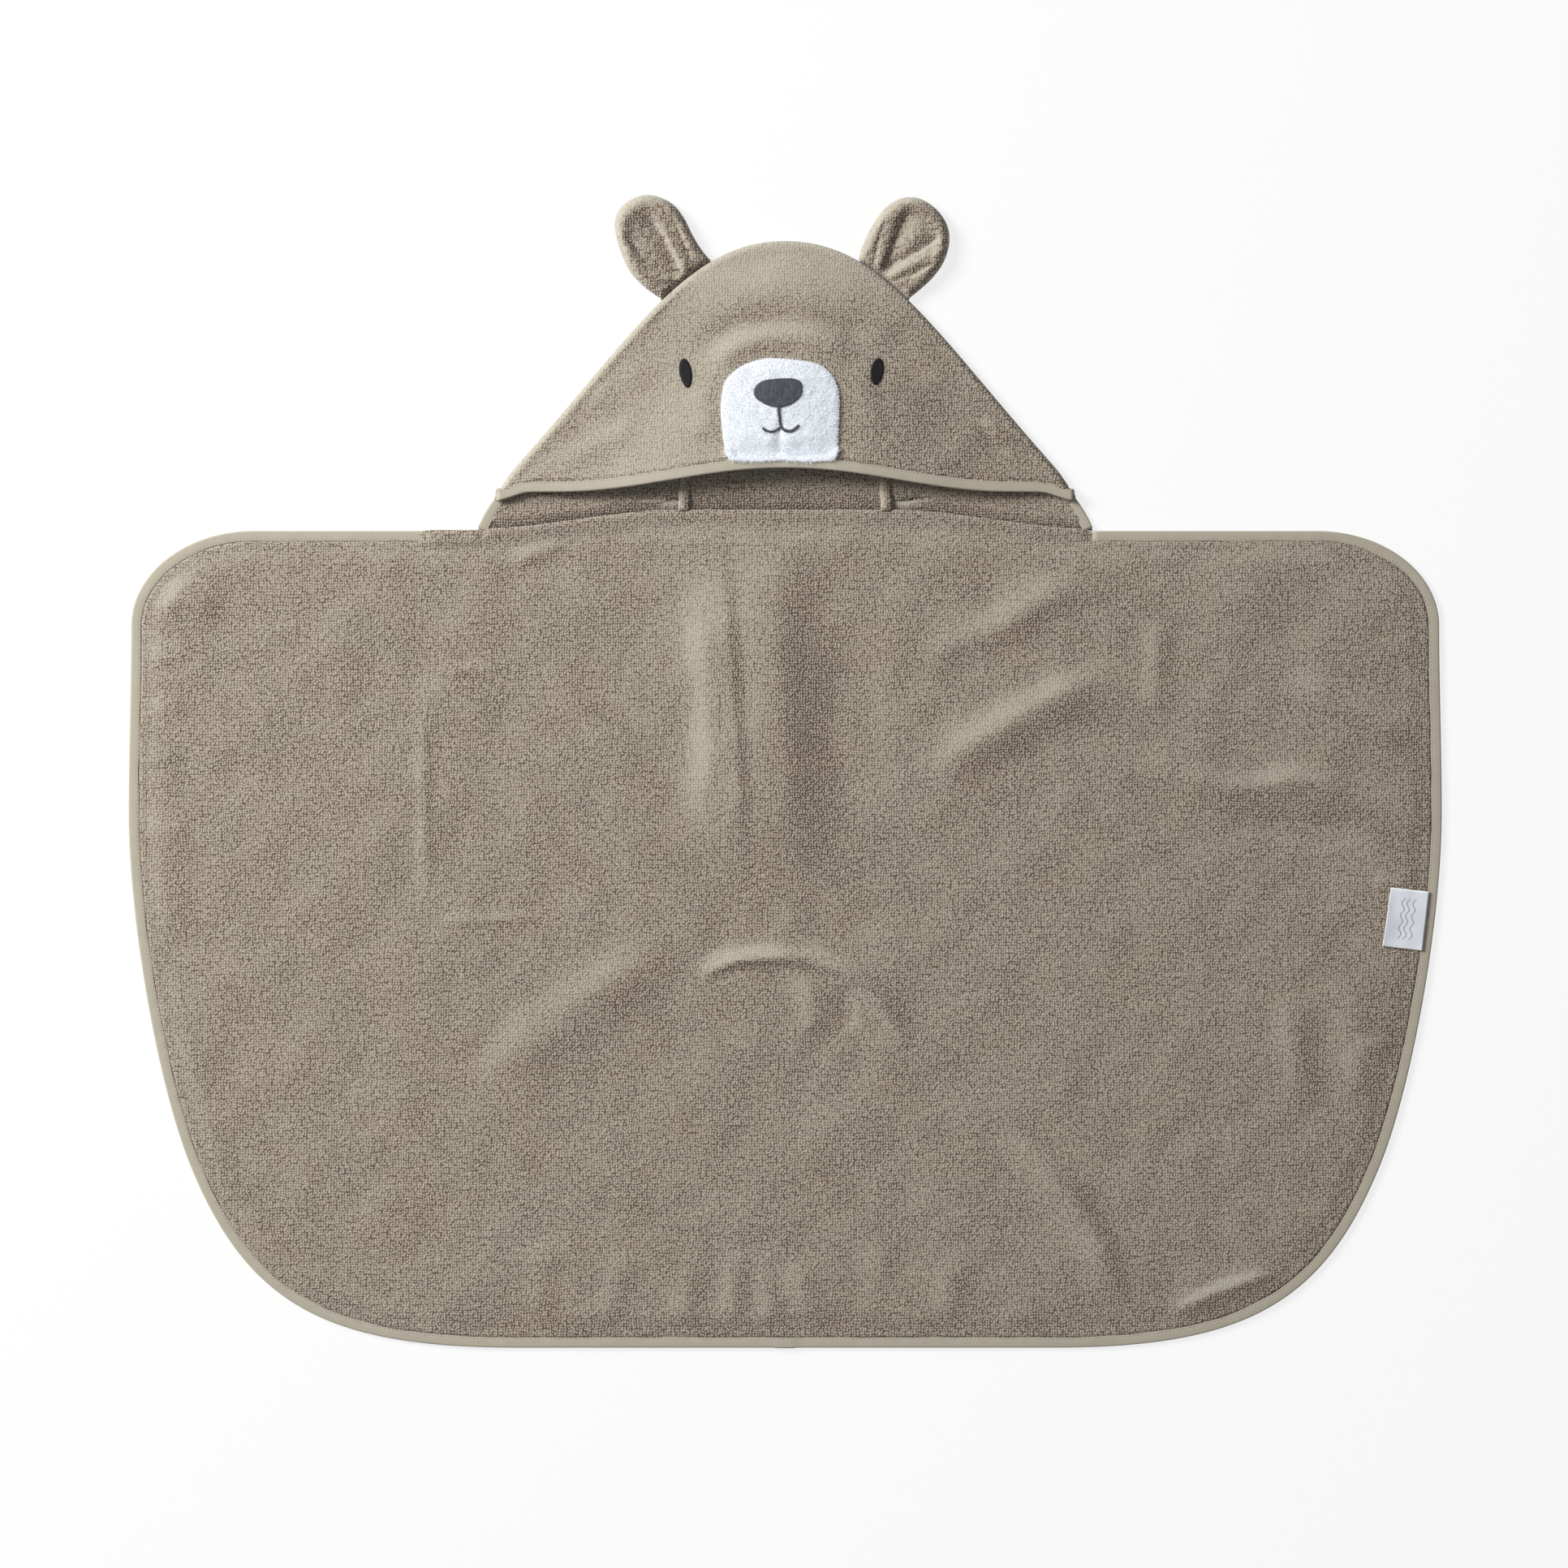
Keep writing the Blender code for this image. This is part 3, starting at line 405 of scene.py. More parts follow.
def near_tree(points):
    """A search tree of places in the plane."""
    found = KDTree(len(points))
    for i, (x, y) in enumerate(points):
        found.insert((x, y, 0), i)
    found.balance()
    return found


def distances(points, search):
    return np.array([search.find((x, y, 0))[2] for x, y in points])


def filled(loop, pitch, clear):
    """Triangles that fill a loop with points at an even pitch. The loop's own points come first."""
    low, high = loop.min(0), loop.max(0)
    rows = np.arange(low[1], high[1], pitch * math.sqrt(3) / 2)
    columns = np.arange(low[0], high[0], pitch)
    grid = np.stack(np.meshgrid(columns, rows), -1)
    grid[1::2, :, 0] += pitch / 2
    grid = grid.reshape(-1, 2)
    grid = grid[inside(loop, grid)]
    grid = grid[distances(grid, near_tree(loop)) > clear]
    points = np.concatenate([loop, grid])
    ring = [(i, (i + 1) % len(loop)) for i in range(len(loop))]
    verts, _, faces, *_ = delaunay_2d_cdt([Vector(p) for p in points], ring, [], 1, 1e-7, False)
    verts, faces = np.array([tuple(v) for v in verts]), np.array(faces, np.int32)
    return verts, faces[inside(loop, verts[faces].mean(1))]


def ring_faces(first, second, count):
    """Quads between two rings of points, of which the second lies inside the first. Both run clockwise."""
    return [(first + (i + 1) % count, first + i, second + i, second + (i + 1) % count) for i in range(count)]


bound = bound_outline() + [0, TOP_EDGE]
bound_edge = bound + WRAP * inward_ways(bound)
neck_x = np.linspace(-NECK_WIDTH / 2, NECK_WIDTH / 2, round(NECK_WIDTH / STATION) + 1)[1:-1]
neck = np.stack([neck_x, TOP_EDGE + neck_y(neck_x)], 1)
edge_loop = np.concatenate([bound_edge, neck])
edge_ways = inward_ways(edge_loop, closed=True)
stations = len(edge_loop)
on_neck = smooth_step(NECK_WIDTH / 2 - np.abs(neck[:, 0]), 0, NECK_EASE)
on_neck = np.concatenate([np.zeros(len(bound_edge)), on_neck])

# Rings parallel to the edge carry the flat that the binding holds, then the rise of the pile beside it.
ring_depth = np.array([0.0, 0.6, 1.4, 2.6, 4.6, 6.9, 7.5, 8.3, 9.6, 11.6, 14.0]) / 1000
bound_profile = np.array([2.6, 2.7, 2.7, 2.7, 2.7, 2.7, 3.3, 3.9, 4.0, 3.8, 3.6]) / 1000
# Along the neck the terry rolls a little way over the seam and hides it.
neck_depth = np.array([0.0, -0.9, -1.7, -1.5, -0.2, 1.9, 3.8, 5.8, 8.2, 11.0, 14.0]) / 1000
neck_profile = np.array([2.9, 3.1, 3.7, 4.5, 5.3, 5.5, 5.2, 4.8, 4.3, 3.9, 3.6]) / 1000
rings = [
    edge_loop + (depth + (over - depth) * on_neck)[:, None] * edge_ways
    for depth, over in zip(ring_depth, neck_depth)
]
levels = [low + (high - low) * on_neck for low, high in zip(bound_profile, neck_profile)]
filling, filling_faces = filled(rings[-1], NET_PITCH, 0.6 * NET_PITCH)
plan = np.concatenate(rings[:-1] + [filling])
level = np.concatenate(levels[:-1] + [np.full(len(filling), TERRY)])
faces = []
for k in range(len(rings) - 1):
    faces += ring_faces(k * stations, (k + 1) * stations, stations)
faces += (filling_faces + (len(rings) - 1) * stations).tolist()
edge_tree = near_tree(edge_loop)


def lifted(points):
    """The lay's height, which dies away where the binding or the neck seam holds the edge."""
    fade = smooth_step(distances(points, edge_tree), *HELD_EDGE)
    return lay_height(points[:, 0], points[:, 1]) * fade


lift = lifted(plan)
pile = PILE_WAVE * waves(plan[:, 0], plan[:, 1], 11, 0.0075, 40)
full = smooth_step(level, 0.0029, TERRY)
top = np.column_stack([plan, level + lift + pile * full])
# To the left of the neck the body rolls over its own binding, and the strip goes in under the roll.
from_top = TOP_EDGE - plan[:, 1]
rolls = smooth_step(plan[:, 0], *ROLL_SPAN[:2]) * smooth_step(plan[:, 0], *ROLL_SPAN[2:])
rolls = rolls * smooth_step(from_top, *ROLL_DEPTH)
rounded = ROLL_HEIGHT - ROLL_DROP * smooth_step(from_top, 0.0035, 0.0)
top[:, 2] += rolls * np.maximum(rounded + pile - top[:, 2], 0)
top[:, 1] += rolls * smooth_step(from_top, 0.0060, 0.0010) * (WRAP + ROLL_OVER)

under_plan, under_faces = filled(edge_loop, UNDER_PITCH, 0.6 * UNDER_PITCH)
under_level = 0.85 * lifted(under_plan)
under_level = under_level + np.where(distances(under_plan, edge_tree) < 1e-4, UNDER_EDGE, 0.0)
under = np.column_stack([under_plan, under_level])
offset = len(top)
faces += [tuple(int(i) + offset for i in face[::-1]) for face in under_faces]
faces += [(i, (i + 1) % stations, offset + (i + 1) % stations, offset + i) for i in range(stations)]

mesh = bpy.data.meshes.new("towel_terry")
mesh.from_pydata(np.concatenate([top, under]).tolist(), [], [tuple(map(int, f)) for f in faces])
map_cloth(mesh, np.concatenate([plan, under_plan]))
# Painted light: where the lay slopes to face the key lamp the pile is painted lighter and smoother, and where
# it turns away its gaps are painted darker.
lamp_step = 0.002 * LAMP_WAY[:2]
paint_lit_share(mesh, (lifted(plan + lamp_step) - lifted(plan - lamp_step)) / (2 * np.hypot(*lamp_step)))


def terry_finish(name, warm, cool, gap, smooth):
    """Cotton terry: rows of little round loops with painted shade in the gaps between them, lying smoother in
    patches. Flanks that face the key lamp are painted lighter, with less gap shade.
    """
    made, tree = blank_material(name)
    flat = add(tree, "ShaderNodeUVMap", uv_map="cloth").outputs["UV"]
    # The rows wander by a third of a loop, over about 12 mm.
    drift = add(tree, "ShaderNodeTexNoise", {"Vector": flat, "Scale": 80.0, "Detail": 2.0})
    drifted = {0: drift.outputs["Color"], 1: (0.5, 0.5, 0.5)}
    centred = add(tree, "ShaderNodeVectorMath", drifted, operation="SUBTRACT")
    moved = add(
        tree,
        "ShaderNodeVectorMath",
        {0: centred.outputs[0], 1: (0.0035, 0.0035, 0.0), 2: flat},
        operation="MULTIPLY_ADD",
    )
    loops = add(
        tree,
        "ShaderNodeTexVoronoi",
        {"Vector": moved.outputs[0], "Scale": 1 / LOOP_PITCH, "Randomness": 0.5},
        voronoi_dimensions="2D",
    )
    crown = add(
        tree,
        "ShaderNodeMapRange",
        {
            "Value": loops.outputs["Distance"],
            "From Min": 0.05,
            "From Max": 0.62,
            "To Min": 1.0,
            "To Max": 0.0,
        },
        interpolation_type="SMOOTHSTEP",
    )
    # Patches about 25 mm across, where the pile stands open or lies brushed.
    patchy = {"Vector": flat, "Scale": 38.0, "Detail": 3.0, "Roughness": 0.6}
    patches = add(tree, "ShaderNodeTexNoise", patchy)
    open_pile = add(
        tree,
        "ShaderNodeMapRange",
        {"Value": patches.outputs["Fac"], "From Min": 0.30, "From Max": 0.66, "To Min": 0.84, "To Max": 1.0},
        interpolation_type="SMOOTHSTEP",
    )
    specks = add(tree, "ShaderNodeTexNoise", {"Vector": moved.outputs[0], "Scale": 330.0, "Detail": 1.0})
    speck_shade = add(
        tree,
        "ShaderNodeMapRange",
        {"Value": specks.outputs["Fac"], "From Min": 0.36, "From Max": 0.66, "To Min": 0.45, "To Max": 1.0},
    )
    # Painted shade: the gaps between the loops are darkened where shade would fall between them, deeper where
    # the pile stands open and in specks, and less on flanks painted as lit.
    between = add(tree, "ShaderNodeMath", {0: 1.0, 1: crown.outputs[0]}, operation="SUBTRACT")
    deep = add(tree, "ShaderNodeMath", {0: between.outputs[0], 1: open_pile.outputs[0]}, operation="MULTIPLY")
    gap_shade_mask = {0: deep.outputs[0], 1: speck_shade.outputs[0]}
    gap_shade_mask = add(tree, "ShaderNodeMath", gap_shade_mask, operation="MULTIPLY")
    # The painted-light share from the mesh: flanks that face the key lamp get less gap shade and the lit
    # tone, flanks turned away get deeper gap shade.
    lit_share = add(tree, "ShaderNodeAttribute", attribute_name="lit_share").outputs["Fac"]
    gap_shade_depth = add(tree, "ShaderNodeMapRange", {"Value": lit_share, "To Min": 1.75, "To Max": 0.45})
    gap_shade = {0: gap_shade_mask.outputs[0], 1: gap_shade_depth.outputs[0]}
    gap_shade = add(tree, "ShaderNodeMath", gap_shade, operation="MULTIPLY", use_clamp=True)
    tints = add(tree, "ShaderNodeTexNoise", {"Vector": flat, "Scale": 16.0, "Detail": 4.0, "Roughness": 0.62})
    tint_share = add(
        tree,
        "ShaderNodeMapRange",
        {"Value": tints.outputs["Fac"], "From Min": 0.34, "From Max": 0.64},
        interpolation_type="SMOOTHSTEP",
    )
    yarn = add(
        tree, "ShaderNodeMix", {0: tint_share.outputs[0], 6: linear(warm), 7: linear(cool)}, data_type="RGBA"
    )
    lamp_lit_yarn = add(tree, "ShaderNodeMix", {0: lit_share, 6: yarn.outputs[2], 7: linear(smooth)}, data_type="RGBA")
    tones = {0: gap_shade.outputs[0], 6: lamp_lit_yarn.outputs[2], 7: linear(gap)}
    colour = add(tree, "ShaderNodeMix", tones, data_type="RGBA")
    # The loops stand 1.1 mm proud of the gaps where the pile is open.
    raised = add(tree, "ShaderNodeMath", {0: crown.outputs[0], 1: open_pile.outputs[0]}, operation="MULTIPLY")
    clumps = add(tree, "ShaderNodeTexNoise", {"Vector": flat, "Scale": 190.0, "Detail": 2.0})
    height = {0: clumps.outputs["Fac"], 1: 0.9, 2: raised.outputs[0]}
    height = add(tree, "ShaderNodeMath", height, operation="MULTIPLY_ADD")
    softness = add(tree, "ShaderNodeMapRange", {"Value": lit_share, "To Min": 0.75, "To Max": 0.35})
    bump = add(
        tree,
        "ShaderNodeBump",
        {"Strength": softness.outputs[0], "Distance": 0.0008, "Height": height.outputs[0]},
    )
    finish_material(tree, colour.outputs[2], 0.96, bump.outputs[0], Sheen_Weight=0.25, Sheen_Roughness=0.6)
    return made


# Colours: two yarn tones, then the painted shade in the gaps, then the tone painted on flanks that face the
# key lamp.
cotton_terry = terry_finish("cotton_terry_loops", "#b2a390", "#afa594", "#5b4c40", "#ada798")
towel_terry = plain_object("towel_terry", mesh, cotton_terry)
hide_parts("body_panel")
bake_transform(towel_terry)

# ---------------------------------------------------------------- edge binding
# A bias strip of plain-weave cotton, folded over the towel's edge and topstitched 1 mm from its inner fold.
# It runs all round except along the neck, and its ends lap at the middle of the hem.

BINDING_WIDTH = 0.0080
LAP_LENGTH = 0.012
LAP_THICKNESS = 0.0004
STITCH_DEPTH, STITCH_LEVEL = 0.0068, 0.00168
TUCK = 0.0015
# Section of the folded strip in mm: depth from the outer edge, then height over the cloth's middle.
STRIP_SECTION = np.array(
    [
        (8.0, 1.40), (7.85, 1.76), (7.3, 1.80), (6.8, 1.74), (6.3, 1.85), (5.0, 1.92), (3.0, 1.93),
        (1.6, 1.91), (1.15, 1.88), (0.6, 1.72), (0.22, 1.36), (0.05, 0.80), (0.0, 0.0), (0.12, -0.62),
        (0.7, -1.35),
        (1.8, -1.72), (3.4, -1.80), (8.0, -1.80), (8.0, -1.30), (3.2, -1.25), (1.2, -0.80), (0.8, 0.0),
        (1.2, 0.85), (3.2, 1.25), (7.7, 1.20),
    ]
) / 1000


def swept(name, sections, along):
    """A closed strip: the same closed section at each station, with its length and girth as its cloth map."""
    count, corners = sections.shape[:2]
    points = sections.reshape(-1, 3)
    faces = []
    for s in range(count - 1):
        for c in range(corners):
            d = (c + 1) % corners
            faces.append((s * corners + c, s * corners + d, (s + 1) * corners + d, (s + 1) * corners + c))
    faces.append(tuple(range(corners)))
    faces.append(tuple(range((count - 1) * corners, count * corners)))
    mesh = bpy.data.meshes.new(name)
    mesh.from_pydata(points.tolist(), [], faces)
    first = sections[count // 2]
    girth = np.concatenate([[0], np.cumsum(np.linalg.norm(np.diff(first, axis=0), axis=1))])
    map_cloth(mesh, np.stack([np.repeat(along, corners), np.tile(girth, count)], 1))
    fix = bmesh.new()
    fix.from_mesh(mesh)
    bmesh.ops.recalc_face_normals(fix, faces=fix.faces)
    fix.to_mesh(mesh)
    fix.free()
    return mesh


def length_along(points):
    return np.concatenate([[0], np.cumsum(np.linalg.norm(np.diff(points, axis=0), axis=1))])


def woven_finish(name, colour, worn, thread, depth):
    """Plain-weave cotton: over-and-under threads, a little lighter where the fold is rubbed."""
    made, tree = blank_material(name)
    flat = add(tree, "ShaderNodeUVMap", uv_map="cloth").outputs["UV"]
    # The real threads are 0.3 mm apart, drawn at 0.9 mm so that the weave shows.
    parts = add(tree, "ShaderNodeSeparateXYZ", {0: flat})
    waves_two = []
    for axis in (0, 1):
        turned = add(
            tree, "ShaderNodeMath", {0: parts.outputs[axis], 1: 2 * math.pi / thread}, operation="MULTIPLY"
        )
        waves_two.append(add(tree, "ShaderNodeMath", {0: turned.outputs[0]}, operation="SINE"))
    warp, weft = (wave.outputs[0] for wave in waves_two)
    weave = add(tree, "ShaderNodeMath", {0: warp, 1: weft}, operation="MULTIPLY")
    slubs = add(tree, "ShaderNodeTexNoise", {"Vector": flat, "Scale": 140.0, "Detail": 3.0})
    lift_sum = {0: slubs.outputs["Fac"], 1: 2.2, 2: weave.outputs[0]}
    lift_sum = add(tree, "ShaderNodeMath", lift_sum, operation="MULTIPLY_ADD")
    tone = add(
        tree, "ShaderNodeMapRange", {"Value": slubs.outputs["Fac"], "From Min": 0.3, "From Max": 0.7}
    )
    tones = {0: tone.outputs[0], 6: linear(colour), 7: linear(worn)}
    mixed = add(tree, "ShaderNodeMix", tones, data_type="RGBA")
    bump = add(tree, "ShaderNodeBump", {"Strength": 0.4, "Distance": depth, "Height": lift_sum.outputs[0]})
    finish_material(tree, mixed.outputs[2], 0.85, bump.outputs[0], Sheen_Weight=0.12)
    return made


cotton_binding = woven_finish("plain_weave_cotton", "#a29b8c", "#a69f90", 0.0009, 0.00003)
stitch_thread, tree = blank_material("polyester_thread")
along_thread = add(tree, "ShaderNodeTexCoord").outputs["Object"]
plies = add(tree, "ShaderNodeTexNoise", {"Vector": along_thread, "Scale": 900.0})
thread_tones = {0: plies.outputs["Fac"], 6: linear("#9a9385"), 7: linear("#8f8778")}
thread_tone = add(tree, "ShaderNodeMix", thread_tones, data_type="RGBA")
finish_material(tree, thread_tone.outputs[2], 0.5)

run = length_along(bound)
bound_ways = inward_ways(bound)
pucker = 0.00010 * waves(run, 0 * run, 21, 0.012) + 0.00012 * waves(run, 0 * run, 22, 0.045)
spread = 0.00025 * waves(run, 0 * run, 23, 0.030)
lap = smooth_step(np.abs(bound[:, 0]), LAP_LENGTH / 2 + 0.001, LAP_LENGTH / 2) * (bound[:, 1] < 0)
sections = np.zeros((len(bound), len(STRIP_SECTION), 3))
for i, (deep, high) in enumerate(STRIP_SECTION):
    upper = high > 0
    reach = deep + (spread if deep > 0.005 and upper else 0 * spread)
    sections[:, i, :2] = bound + bound_ways * (reach - lap * LAP_THICKNESS * (deep < 0.002))[:, None]
    sections[:, i, 2] = TERRY / 2 + high + (pucker * (deep / 0.008) + lap * LAP_THICKNESS if upper else 0)
# Both ends reach in under the hood's binding.
sections[0, :, 0] += TUCK * np.sign(-bound[0, 0])
sections[-1, :, 0] += TUCK * np.sign(-bound[-1, 0])
binding = plain_object("towel_edge_binding", swept("towel_edge_binding", sections, run), cotton_binding)
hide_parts("edge_binding")
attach(binding, "towel")


def open_tree(name, base, sizes, material, result):
    """A Geometry Nodes tree with a mesh, sizes and a material as named inputs, and its input node."""
    tree = bpy.data.node_groups.new(name, "GeometryNodeTree")
    face = tree.interface
    face.new_socket(base, in_out="INPUT", socket_type="NodeSocketGeometry")
    for label, value in sizes:
        face.new_socket(label, in_out="INPUT", socket_type="NodeSocketFloat").default_value = value
    face.new_socket(material, in_out="INPUT", socket_type="NodeSocketMaterial")
    face.new_socket(result, in_out="OUTPUT", socket_type="NodeSocketGeometry")
    return tree, add(tree, "NodeGroupInput")


def close_tree(tree, instances, material):
    """Ends a tree: its instances become one real mesh, which takes its material."""
    real = add(tree, "GeometryNodeRealizeInstances", {0: instances})
    dyed = add(tree, "GeometryNodeSetMaterial", {"Geometry": real.outputs[0], "Material": material})
    add(tree, "NodeGroupOutput", {0: dyed.outputs[0]})


def stitch_tree():
    """Lays one stitch at each pitch along a line: a short thread with rounded ends, sunk into the cloth."""
    sizes = (("Pitch", 0.003), ("Length", 0.002), ("Thickness", 0.0005))
    tree, given = open_tree("topstitch", "Line", sizes, "Thread", "Stitches")
    line = add(tree, "GeometryNodeMeshToCurve", {0: given.outputs["Line"]})
    even = add(
        tree,
        "GeometryNodeResampleCurve",
        {"Curve": line.outputs[0], "Length": given.outputs["Pitch"]},
        mode="LENGTH",
    )
    ball = add(tree, "GeometryNodeMeshUVSphere", {"Segments": 6, "Rings": 4, "Radius": 0.5})
    size = add(
        tree,
        "ShaderNodeCombineXYZ",
        {0: given.outputs["Length"], 1: given.outputs["Thickness"], 2: given.outputs["Thickness"]},
    )
    tangent = add(tree, "GeometryNodeInputTangent")
    facing = add(tree, "FunctionNodeAlignRotationToVector", {"Vector": tangent.outputs[0]}, axis="X")
    laid = add(
        tree,
        "GeometryNodeInstanceOnPoints",
        {
            "Points": even.outputs[0],
            "Instance": ball.outputs[0],
            "Rotation": facing.outputs[0],
            "Scale": size.outputs[0],
        },
    )
    close_tree(tree, laid.outputs[0], given.outputs["Thread"])
    return tree


def grown(name, base, tree, values):
    """A plain mesh object made by running a node tree on a base mesh. values go by the inputs' names."""
    holder = bpy.data.objects.new(name + "_base", base)
    scene.collection.objects.link(holder)
    modifier = holder.modifiers.new(name, "NODES")
    modifier.node_group = tree
    for item in tree.interface.items_tree:
        if item.in_out == "INPUT" and item.name in values:
            modifier[item.identifier] = values[item.name]
    graph = bpy.context.evaluated_depsgraph_get()
    mesh = bpy.data.meshes.new_from_object(holder.evaluated_get(graph), depsgraph=graph)
    mesh.name = name
    holder.modifiers.remove(modifier)
    bpy.data.objects.remove(holder)
    made = bpy.data.objects.new(name, mesh)
    scene.collection.objects.link(made)
    mesh.shade_smooth()
    return made


def line_mesh(name, lines):
    """A mesh of loose edges that run through each line's points."""
    points, edges = [], []
    for line in lines:
        edges += [(len(points) + i, len(points) + i + 1) for i in range(len(line) - 1)]
        points += [tuple(p) for p in line]
    mesh = bpy.data.meshes.new(name)
    mesh.from_pydata(points, edges, [])
    return mesh


topstitch = stitch_tree()
stitch_line = bound + bound_ways * STITCH_DEPTH
stitch_line = np.column_stack([stitch_line, np.full(len(bound), TERRY / 2 + STITCH_LEVEL)])
stitch_line[:, 2] += pucker * STITCH_DEPTH / 0.008 + lap * LAP_THICKNESS
STITCH = {"Pitch": 0.0031, "Length": 0.0024, "Thickness": 0.00062, "Thread": stitch_thread}
towel_stitches = grown("towel_topstitch", line_mesh("seam", [stitch_line]), topstitch, STITCH)
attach(towel_stitches, "towel")

# The tape on the back of the neck seam: a straight strip of the same cotton that covers the raw allowances.
tape_in = inward_ways(neck)
tape_section = [(0.3, 0.02), (0.3, 0.5), (1.2, 0.62), (4.0, 0.62), (6.2, 0.62), (7.2, 0.5), (7.2, 0.02)]
tape_section = np.array(tape_section) / 1000
inner_neck = neck[2:-2]
sections = [
    np.column_stack([inner_neck + tape_in[2:-2] * a, np.full(len(inner_neck), z)]) for a, z in tape_section
]
sections = np.stack(sections, 1)
neck_tape = plain_object(
    "neck_seam_tape", swept("neck_seam_tape", sections, length_along(inner_neck)), cotton_binding
)
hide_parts("neck_tape")
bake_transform(neck_tape)

# ---------------------------------------------------------------- hood
# One terry panel folded round both sides: its face is the front of the hood, and its two flaps lie under it.
# The folds and the crown are soft rolls, and the face is domed over the pocket with a brow above the muzzle.

HOOD_LENGTH = 0.2205
FOLD_IN, FOLD_RISE, FOLD_RADIUS = 0.012, 0.029, 0.0030
FOLD_HALF = TERRY / 2 + FOLD_RADIUS
FOLD_TOP = TERRY / 2 + 2 * FOLD_RADIUS
SIDE_ANGLE = math.radians(47)
SIDE_REACH, CROWN_REACH = 0.152, 0.080
OPENING_RISE, OPENING_SPAN = 0.0175, 0.170
OPENING_LIFT, DOME_LIFT, DOME_EDGE = 0.0146, 0.0008, 0.42
BACK_SEAM_HALF_WIDTH, BACK_SEAM_TOP = 0.077, 0.65
EDGE_HALF = TERRY / 2 - WRAP
BOUND = BINDING_WIDTH - WRAP + GAP
SQUEEZED = BOUND + 0.0022
ROWS, ACROSS, FLAP_NECK, ROUND = 60, 129, 26, 10
FLAP_EDGE = np.linspace(0.07, 1.0, 12)
CORNER_SPAN, CORNER_DROP, CORNER_EASE = (0.192, 0.226), 0.0026, 0.026
FLAP_BULGE, FOLD_TAPER = 0.0011, 0.026
# How much the crown is painted lighter and smoother, partly for its flat-lying pile and partly as a painted
# highlight, and over what span from the top edge.
CROWN_BRUSH_AND_LIGHT, CROWN_SPAN = 0.45, (0.150, 0.205)
FLOOR_CLEAR = 0.0001
HOOD_GAIN = 0.48
# Ridges of the face, in the same form as the body's. They are measured from the towel's straight top edge.
HOOD_RIDGES = [
    (-3.2, 12, 11, [(-74, 118), (-56, 142), (-28, 157), (4, 161), (36, 155), (60, 138), (74, 116)]),
    (2.6, 8, 9, [(-60, 116), (-44, 134), (-16, 144), (14, 145), (42, 136), (60, 116)]),
    (1.6, 8, 10, [(62, 134), (60, 110), (66, 88), (70, 66)]),
    (1.3, 8, 10, [(-66, 110), (-60, 90), (-62, 66)]),
    (2.2, 4, 5, [(150, 84), (163, 74), (178, 70)]),
    (-1.6, 5, 5, [(146, 76), (160, 66), (172, 60)]),
    (1.8, 9, 12, [(-176, 48), (-140, 66), (-108, 80)]),
    (1.5, 10, 12, [(-150, 92), (-122, 112), (-96, 134)]),
    (1.4, 9, 11, [(104, 44), (130, 60), (150, 78)]),
    (1.2, 9, 10, [(92, 150), (112, 128), (124, 104)]),
    (1.0, 7, 8, [(-210, 34), (-184, 44), (-160, 42)]),
    (1.0, 7, 8, [(172, 40), (190, 44), (206, 36)]),
]


def side_curve(t):
    """The hood's silhouette from its left fold corner (0) to the middle of its crown (1)."""
    t = np.atleast_1d(np.asarray(t, float))[:, None]
    start = np.array([FOLD_IN - NECK_WIDTH / 2, FOLD_RISE])
    crown = np.array([0, HOOD_LENGTH])
    one = start + SIDE_REACH * np.array([math.cos(SIDE_ANGLE), math.sin(SIDE_ANGLE)])
    two = crown - [CROWN_REACH, 0]
    return (1 - t) ** 3 * start + 3 * (1 - t) ** 2 * t * one + 3 * (1 - t) * t**2 * two + t**3 * crown


def side_normal(t):
    along = side_curve(np.asarray(t) + 1e-4) - side_curve(np.asarray(t) - 1e-4)
    along /= np.linalg.norm(along, axis=1)[:, None]
    return np.stack([along[:, 1], -along[:, 0]], 1)


def inset(t):
    return side_curve(t) + FOLD_HALF * side_normal(t)


def opening_y(x):
    bump = np.where(np.abs(x) < OPENING_SPAN, np.cos(math.pi * x / 2 / OPENING_SPAN) ** 2, 0)
    return FOLD_RISE + OPENING_RISE * bump


def coons(bottom, top, left, right):
    """A net between four curves that share their corners. Rows run from bottom to top."""
    v = np.linspace(0, 1, len(left))[:, None, None]
    u = np.linspace(0, 1, len(bottom))[None, :, None]
    ruled = (1 - v) * bottom[None] + v * top[None] + (1 - u) * left[:, None] + u * right[:, None]
    low = (1 - u) * (1 - v) * bottom[0] + u * (1 - v) * bottom[-1]
    return ruled - low - (1 - u) * v * top[0] - u * v * top[-1]


def squeeze_rows(net, columns=slice(None)):
    for row, distance in ((1, BOUND), (2, SQUEEZED)):
        way = (net[4] - net[0])[columns]
        net[row, columns] = net[0, columns] + way / np.linalg.norm(way, axis=1)[:, None] * distance
    return net


def hood_lift(x, y):
    height = 0.00016 * waves(x, y, 31, 0.06) + 0.00005 * waves(x, y, 32, 0.022)
    return height + HOOD_GAIN * ridged(x, y, HOOD_RIDGES, (0.0, 0.25), (1.0, 0.75))


